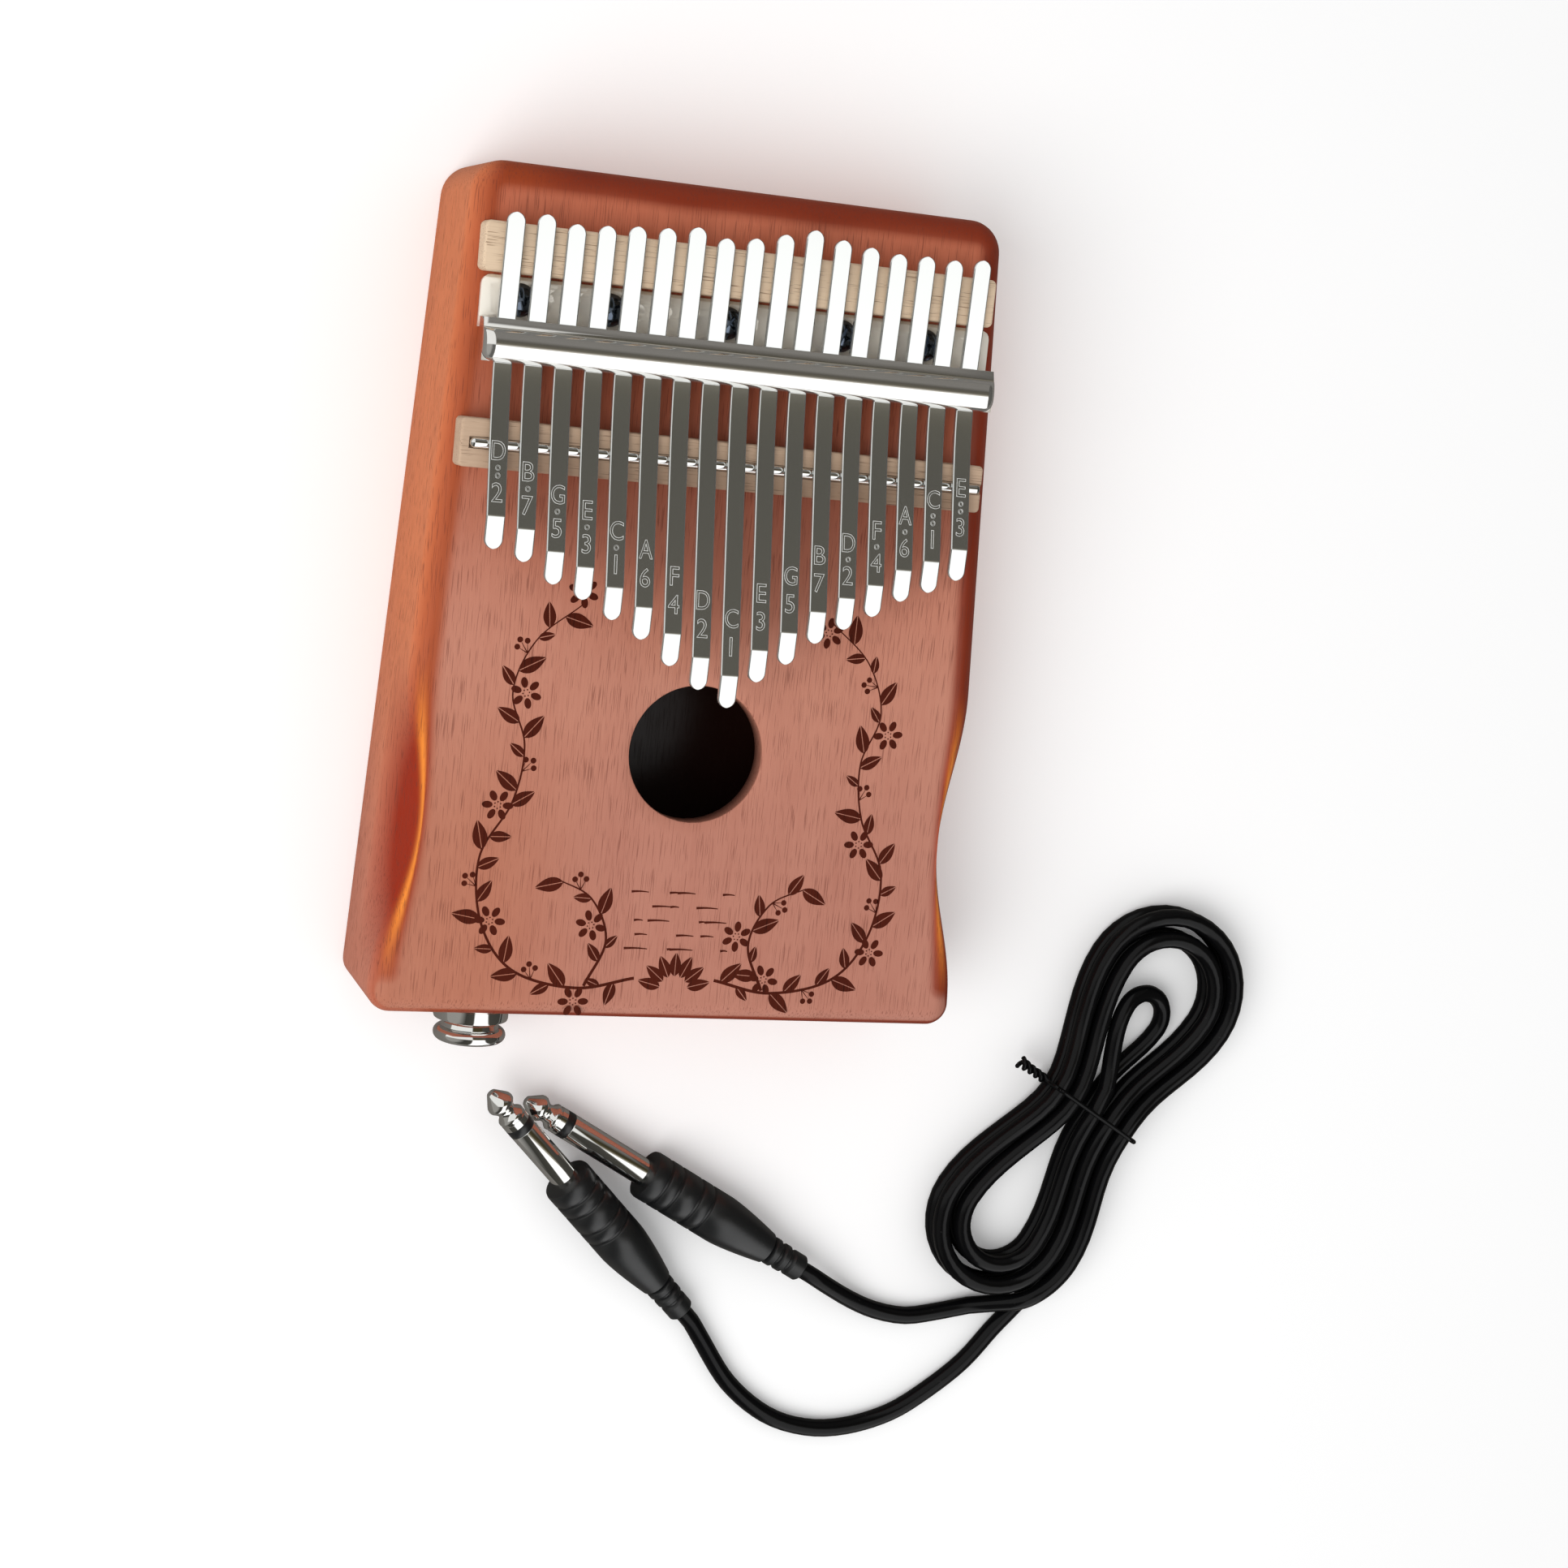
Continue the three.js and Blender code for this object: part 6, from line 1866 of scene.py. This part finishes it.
@dataclass
class Bracket:
    """The plated bracket that presses the tines down, and its five screws."""

    head_radius: float = 3.4
    head_height: float = 2.0
    head_edge: float = 0.1
    shaft_radius: float = 1.5
    screw_length: float = 14.0
    point_length: float = 2.5
    slot_radius: float = 1.9
    slot_width: float = 0.62
    slot_depth: float = 0.9
    slot_turn: float = 0.3
    bead_foot: float = 41.9
    bead_lip: float = 41.98
    bead_rise: float = 2.72
    bead_half: float = 3.3
    bead_y: float = 51.5
    bead_end: float = 2.4
    bead_corner: float = 2.0

    def _bead_ring(self, x: float, near: float) -> list[Vector]:
        """Returns the bead's section.

        Args:
            x: The section's place.
            near: Its distance from the bead's nearer end.

        Returns:
            The section's points.
        """

        def lost(rounding: float) -> float:
            """Returns how much the end's rounding takes off here."""
            away = max(rounding - near, 0.0) / rounding
            return rounding * (1 - math.sqrt(1 - away**2))

        rise, front = self.bead_rise - lost(self.bead_end), self.bead_half - lost(self.bead_corner)
        section = [(-front, self.bead_foot), (self.bead_half, self.bead_foot)]
        for step, (across, up) in enumerate(arc(0.0, 0.0, 1.0, 0.0, math.pi, 32)):
            section.append(((self.bead_half if step < 16 else front) * across, self.bead_lip + rise * up))
        return [Vector((x, self.bead_y + across, z)) for across, z in section]

    def _bead(self) -> None:
        """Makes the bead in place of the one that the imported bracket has."""
        low, high = node_box("pressure_bracket")
        ends = [self.bead_end * inward for _, inward in quarter(12)]
        places = [(low.x + near, near) for near in ends] + [(high.x - near, near) for near in reversed(ends)]
        blank = Blank()
        blank.loft([self._bead_ring(*place) for place in places])
        blank.finish("bracket_bead", "body", "chrome", Finish.PLATE, (), 50.0)
        LOG.info("bracket_bead made")

    def _screw(self, number: int) -> None:
        """Makes one domed screw with a cross in its head.

        Args:
            number: The screw's number from the left.
        """
        node = f"bracket_screw_{number}"
        low, high = node_box(node)
        radius, height, shaft, edge = self.head_radius, self.head_height, self.shaft_radius, self.head_edge
        seat = Vector(((low.x + high.x) / 2, (low.y + high.y) / 2, high.z - height))
        outline = [
            (0.0, -self.screw_length), (shaft, self.point_length - self.screw_length), (shaft, 0.0),
            (radius - edge, 0.0), (radius, edge), (radius, height / 4),
        ]
        dome = quarter(12)[1:-1]
        outline += [(radius * (1 - inward), lerp(height / 4, height, rise)) for rise, inward in dome]
        blank = Blank()
        blank.turn([*outline, (0.0, height)], seat, Vector((0, 0, 1)), 48)
        # The chrome screw takes painted shade: a dark blue-black finish.
        piece = blank.finish(f"{node}_turned", "body", "chrome", Finish.SHADED_SCREW, [node], 40.0)
        for turn in (0.0, QUARTER):
            cutter = Blank()
            made = bmesh.ops.create_cube(cutter.bm, size=1.0)["verts"]
            size = (2 * self.slot_radius, self.slot_width, 2 * self.slot_depth)
            bmesh.ops.scale(cutter.bm, vec=size, verts=made)
            spin = Matrix.Rotation(turn + self.slot_turn * number, 3, "Z")
            bmesh.ops.rotate(cutter.bm, cent=(0, 0, 0), matrix=spin, verts=made)
            bmesh.ops.translate(cutter.bm, vec=seat + Vector((0, 0, height + 0.02)), verts=made)
            cutter.cut_from(piece)
        LOG.info("%s made", node)

    def build(self) -> None:
        """Makes the bracket and its screws."""
        smooth_copy("pressure_bracket", "bracket_plate", Finish.PLATE, "chrome", 0.18, self.bead_foot)
        self._bead()
        for number in range(1, 6):
            self._screw(number)


# Tines


class Note(Enum):
    """A tine's note letter, its octave dots and its number in the scale."""

    T01 = ("D", 2, "2")
    T02 = ("B", 1, "7")
    T03 = ("G", 1, "5")
    T04 = ("E", 1, "3")
    T05 = ("C", 1, "1")
    T06 = ("A", 0, "6")
    T07 = ("F", 0, "4")
    T08 = ("D", 0, "2")
    T09 = ("C", 0, "1")
    T10 = ("E", 0, "3")
    T11 = ("G", 0, "5")
    T12 = ("B", 0, "7")
    T13 = ("D", 1, "2")
    T14 = ("F", 1, "4")
    T15 = ("A", 1, "6")
    T16 = ("C", 2, "1")
    T17 = ("E", 2, "3")


@dataclass
class Keyboard:
    """The seventeen tines, bent under the bracket and over the rod, with their stamped notes."""

    width: float = 3.9
    thickness: float = 1.0
    edge: float = 0.25
    low_edge: float = 0.12
    rear_rise: float = 0.055
    front_rise: float = 0.22
    tip_rise: float = -0.065
    tip_length: float = 6.7
    bead_y: float = 51.5
    bead_top: float = 40.55
    rear_y: float = 66.0
    rear_top: float = 41.4
    rod_y: float = 31.7
    rod_top: float = 43.424
    slope_reach: float = 0.3
    bend_round: float = 0.35
    number_gap: float = 2.7
    letter_height: float = 3.9
    letter_squeeze: float = 0.92
    letter_width: float = 2.9
    dot_height: float = 1.15
    dot_pitch: float = 1.55
    letter_gap: float = 0.8
    letter_lift: float = -0.3
    plain_gap: float = 1.3
    line_radius: float = 0.12
    font_line: float = 0.012

    @staticmethod
    def _blend(start: Place, end: Place, y: float) -> float:
        """Returns a cubic between two heights.

        Args:
            start: The start's distance, height and rise.
            end: The end's distance, height and rise.
            y: The distance.

        Returns:
            The height there.
        """
        span = end[0] - start[0]
        t = (y - start[0]) / span
        weight = 1 - 3 * t**2 + 2 * t**3
        leave, arrive = t - 2 * t**2 + t**3, t**3 - t**2
        return start[1] * weight + end[1] * (1 - weight) + span * (leave * start[2] + arrive * end[2])

    def top(self, y: float, bend: float) -> float:
        """Finds the height of a tine's top.

        Args:
            y: The distance along it.
            bend: Where its tip bends.

        Returns:
            The height.
        """
        bead = (self.bead_y, self.bead_top, 0.0)
        if y > self.rear_y:
            return self.rear_top + (y - self.rear_y) * self.rear_rise
        if y > self.bead_y:
            return self._blend(bead, (self.rear_y, self.rear_top, self.rear_rise), y)
        if y > self.rod_y:
            return self._blend(bead, (self.rod_y, self.rod_top, -self.front_rise), y)
        if y > bend:
            return self.rod_top + (self.rod_y - y) * self.front_rise
        return self.rod_top + (self.rod_y - bend) * self.front_rise + (bend - y) * self.tip_rise

    def _section(self, x: float, y: float, z: float, tilt: float, half: float) -> list[Vector]:
        """Draws a cross-section square to the tine's path.

        Args:
            x: The tine's middle.
            y: The section's place.
            z: The height of the tine's top there.
            tilt: The path's slope as an angle.
            half: Half the tine's width there.

        Returns:
            The section's points.
        """
        edge, low = min(self.edge, half / 2), min(self.low_edge, half / 2)
        corners = (
            (half - edge, -edge, edge), (edge - half, -edge, edge),
            (low - half, low - self.thickness, low), (half - low, low - self.thickness, low),
        )
        places = []
        for turns, corner in enumerate(corners):
            places += arc(*corner, QUARTER * turns, QUARTER * (turns + 1), 3)
        return [
            Vector((x + side, y - depth * math.sin(tilt), z + depth * math.cos(tilt)))
            for side, depth in places
        ]

    def _tine(self, number: int) -> None:
        """Makes one tine.

        Args:
            number: The tine's number from the left.
        """
        node = f"tine_{number:02d}"
        low, high = node_box(node)
        x, radius = (low.x + high.x) / 2, self.width / 2
        rear, tip = high.y, low.y
        bend = tip + self.tip_length
        ends = [radius * inward for _, inward in quarter(10)[1:]]
        stations = [rear - near for near in ends]
        stations += [lerp(rear - radius, self.rod_y, step / 26) for step in range(1, 27)]
        stations += [lerp(self.rod_y, bend + 1.0, step / 6) for step in range(1, 7)]
        stations += [bend + self.bend_round, bend, bend - self.bend_round]
        stations += [tip + near for near in reversed(ends)]
        rings, reach = [], self.slope_reach
        for y in stations:
            rise = (self.top(y + reach, bend) - self.top(y - reach, bend)) / (2 * reach)
            lost = max(radius - min(rear - y, y - tip), 0.0)
            half = max(math.sqrt(max(radius**2 - lost**2, 0.0)), self.low_edge)
            rings.append(self._section(x, y, self.top(y, bend), math.atan(rise), half))
        blank = Blank()
        blank.loft(rings, (3, 4))
        blank.finish(f"{node}_strip", node, "tine_steel", Finish.TINE, [node], 40.0)
        self._stamp(number, node, x, bend)

    def _stamp(self, number: int, node: str, x: float, bend: float) -> None:
        """Stamps a tine's note above its bend.

        Args:
            number: The tine's number from the left.
            node: The tine's name, which is its body's too.
            x: The tine's middle.
            bend: Where its tip bends.
        """
        letter, dots, digit = Note[f"T{number:02d}"].value
        gap = self.letter_gap if dots else self.plain_gap
        foot = bend + self.number_gap + (0.0 if dots else self.plain_gap)
        y = foot + self.letter_height + self.letter_gap
        marks = [(digit, foot, self.letter_height)]
        marks += [("o", y + self.dot_pitch * dot, self.dot_height) for dot in range(dots)]
        marks.append((letter, y + self.dot_pitch * dots + gap + self.letter_lift, self.letter_height))
        blank = Blank()
        for text, low_y, height in marks:
            self._glyph(blank.bm, text, x, low_y, height)
        blank.finish(f"{node}_stamp", node, "tine_steel", Finish.STAMP, (), 60.0)

    def _glyph(self, bm: bmesh.types.BMesh, text: str, x: float, low_y: float, height: float) -> None:
        """Adds the raised outline of one mark.

        Args:
            bm: The mesh.
            text: The mark.
            x: The mark's middle.
            low_y: The mark's foot.
            height: The mark's height.
        """
        curve = bpy.data.curves.new("mark", "FONT")
        curve.body = text
        curve.align_x = "CENTER"
        curve.fill_mode = "NONE"
        curve.resolution_u = 4
        curve.bevel_depth = self.font_line
        curve.bevel_resolution = 0
        mesh = evaluated(link("mark", curve))
        known = len(bm.verts)
        bm.from_mesh(mesh)
        fresh = list(bm.verts)[known:]
        (left, right), (foot, head) = (
            (min(vert.co[axis] for vert in fresh), max(vert.co[axis] for vert in fresh)) for axis in range(2)
        )
        scale = height / (head - foot)
        wide = min(scale * self.letter_squeeze, self.letter_width / (right - left))
        thick, tilt = self.line_radius / self.font_line, math.atan(self.front_rise)
        for vert in fresh:
            y = low_y + (vert.co.y - foot) * scale
            z = self.rod_top + (self.rod_y - y) * self.front_rise
            side, rise = (vert.co.x - (left + right) / 2) * wide, vert.co.z * thick
            vert.co = Vector((x + side, y + rise * math.sin(tilt), z + rise * math.cos(tilt)))
        bpy.data.curves.remove(curve)
        bpy.data.meshes.remove(mesh)

    def build(self) -> None:
        """Makes the tines and their marks."""
        for number in range(1, 18):
            self._tine(number)
        LOG.info("17 tines made and stamped")


# Jack


@dataclass
class Jack:
    """The end-pin jack: collar and flared cap outside, barrel through the wall, and its fittings."""

    bore: float = 3.3
    collar_edge: float = 0.6
    neck: float = 6.3
    neck_length: float = 1.4
    room: float = 0.1
    threads: int = 22
    thread_depth: float = 0.25
    thread_start: float = 0.8
    thread_end: float = 5.2

    @staticmethod
    def _size(node: str) -> Flat:
        """Returns the radius and the length of one of the jack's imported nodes."""
        low, high = node_box(node)
        return (high.x - low.x) / 2, high.y - low.y

    @staticmethod
    def _ring(node: str, name: str, outline: list[Flat]) -> None:
        """Turns one ring of the jack about its axis.

        Args:
            node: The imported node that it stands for.
            name: The piece's name.
            outline: A closed outline as (radius, distance outwards from the node's rear).
        """
        low, high = node_box(node)
        blank = Blank()
        rear = Vector(((low.x + high.x) / 2, high.y, (low.z + high.z) / 2))
        blank.turn([*outline, outline[0]], rear, Vector((0, -1, 0)), 72)
        blank.finish(name, "body", "chrome", Finish.CHROME, [node], 40.0)

    def _collar(self) -> None:
        """Makes the collar, with a groove round its rear."""
        radius, length = self._size("jack_collar")
        inner, edge = self._size("jack_barrel")[0] + self.room, self.collar_edge
        self._ring("jack_collar", "jack_ring", [
            (inner, 0.0), (radius - 0.15, 0.0), (radius, 0.15), (radius, 1.1), (radius - 0.18, 1.25),
            (radius - 0.18, 1.45), (radius, 1.6), (radius, length - edge),
            (radius - 0.25 * edge, length - 0.25 * edge), (radius - edge, length), (inner, length),
        ])

    def _cap(self) -> None:
        """Makes the flared cap with the socket's mouth."""
        bore, neck = self.bore, self.neck
        radius, length = self._size("jack_cap")
        outline = [(bore, 0.0), (neck, 0.0), (neck - 0.25, 0.5), (neck, self.neck_length)]
        outline += [
            (lerp(neck, radius, out), lerp(self.neck_length, length, (1 + along) / 2))
            for out, along in arc(0.0, 0.0, 1.0, -QUARTER, QUARTER, 12)
        ]
        mouth = ((neck - 0.8, 0.25), (bore + 1.2, 0.55), (bore + 0.3, 0.9), (bore, 1.4))
        self._ring("jack_cap", "jack_mouth", outline + [(wide, length - deep) for wide, deep in mouth])

    def _barrel(self) -> None:
        """Makes the threaded barrel."""
        radius, length = self._size("jack_barrel")
        low, start = radius - self.thread_depth, self.thread_start
        pitch = (length - self.thread_end - start) / self.threads
        outline = [(self.bore, 0.0), (low, 0.0)]
        for number in range(self.threads):
            outline += [(low, start + pitch * number), (radius, start + pitch * (number + 0.5))]
        outline += [(low, start + pitch * self.threads), (radius - 0.1, length), (self.bore, length)]
        self._ring("jack_barrel", "jack_tube", outline)

    def build(self) -> None:
        """Makes the jack."""
        self._collar()
        self._cap()
        self._barrel()
        for node in ("jack_washer", "jack_nut"):
            smooth_copy(node, f"{node}_eased", Finish.CHROME, "chrome", 0.15)
        smooth_copy("jack_insulator", "jack_insulator_eased", Finish.PLASTIC, "black_plastic", 0.15)
        dress_node("jack_contact", Finish.BRASS)
        LOG.info("jack made")


@dataclass
class Pickup:
    """The disc pickup under the face, with its wire to the jack."""

    wire_radius: float = 0.9

    def build(self) -> None:
        """Makes the pickup."""
        smooth_copy("piezo_plate", "pickup_plate", Finish.BRASS, "brass")
        smooth_copy("piezo_disc", "pickup_disc", Finish.CERAMIC, "piezo_ceramic")
        radius = self.wire_radius
        low, high = node_box("pickup_wire")
        disc_low, disc_high = node_box("piezo_disc")
        middle, reach = (disc_low + disc_high) / 2, (disc_high.x - disc_low.x) / 2
        side, floor, roof = low.x + radius, low.z + radius, high.z - radius
        line = catmull([
            Vector((middle.x + reach / 2, middle.y, roof)),
            Vector((middle.x - reach / 2, middle.y, roof)),
            Vector((middle.x - reach * 1.9, middle.y - reach * 0.7, (high.z + floor) / 2)),
            Vector((side + 1.0, middle.y - reach * 2.7, floor + 0.6)),
            Vector((side + 0.4, low.y + 15.0, floor + 0.6)),
            Vector((side + 0.6, low.y + radius, node_box("jack_contact")[1].z - 4.0)),
        ], 1.5)
        cord_piece(
            "pickup_cord", line, radius, "body", "black_rubber", ["pickup_wire"],
            far_end="object", stiffness="limp", lay="loose",
        )
        LOG.info("pickup made")


def main() -> None:
    """Builds the studio and the pieces in order."""
    logging.basicConfig(level=logging.INFO, format="%(message)s")
    parts = (
        Studio(), Lead(), SoundBox(), Engraving(), Bridges(), Bracket(), Keyboard(), Jack(), Pickup(),
    )
    for part in parts:
        part.build()


if __name__ == "__main__":
    main()
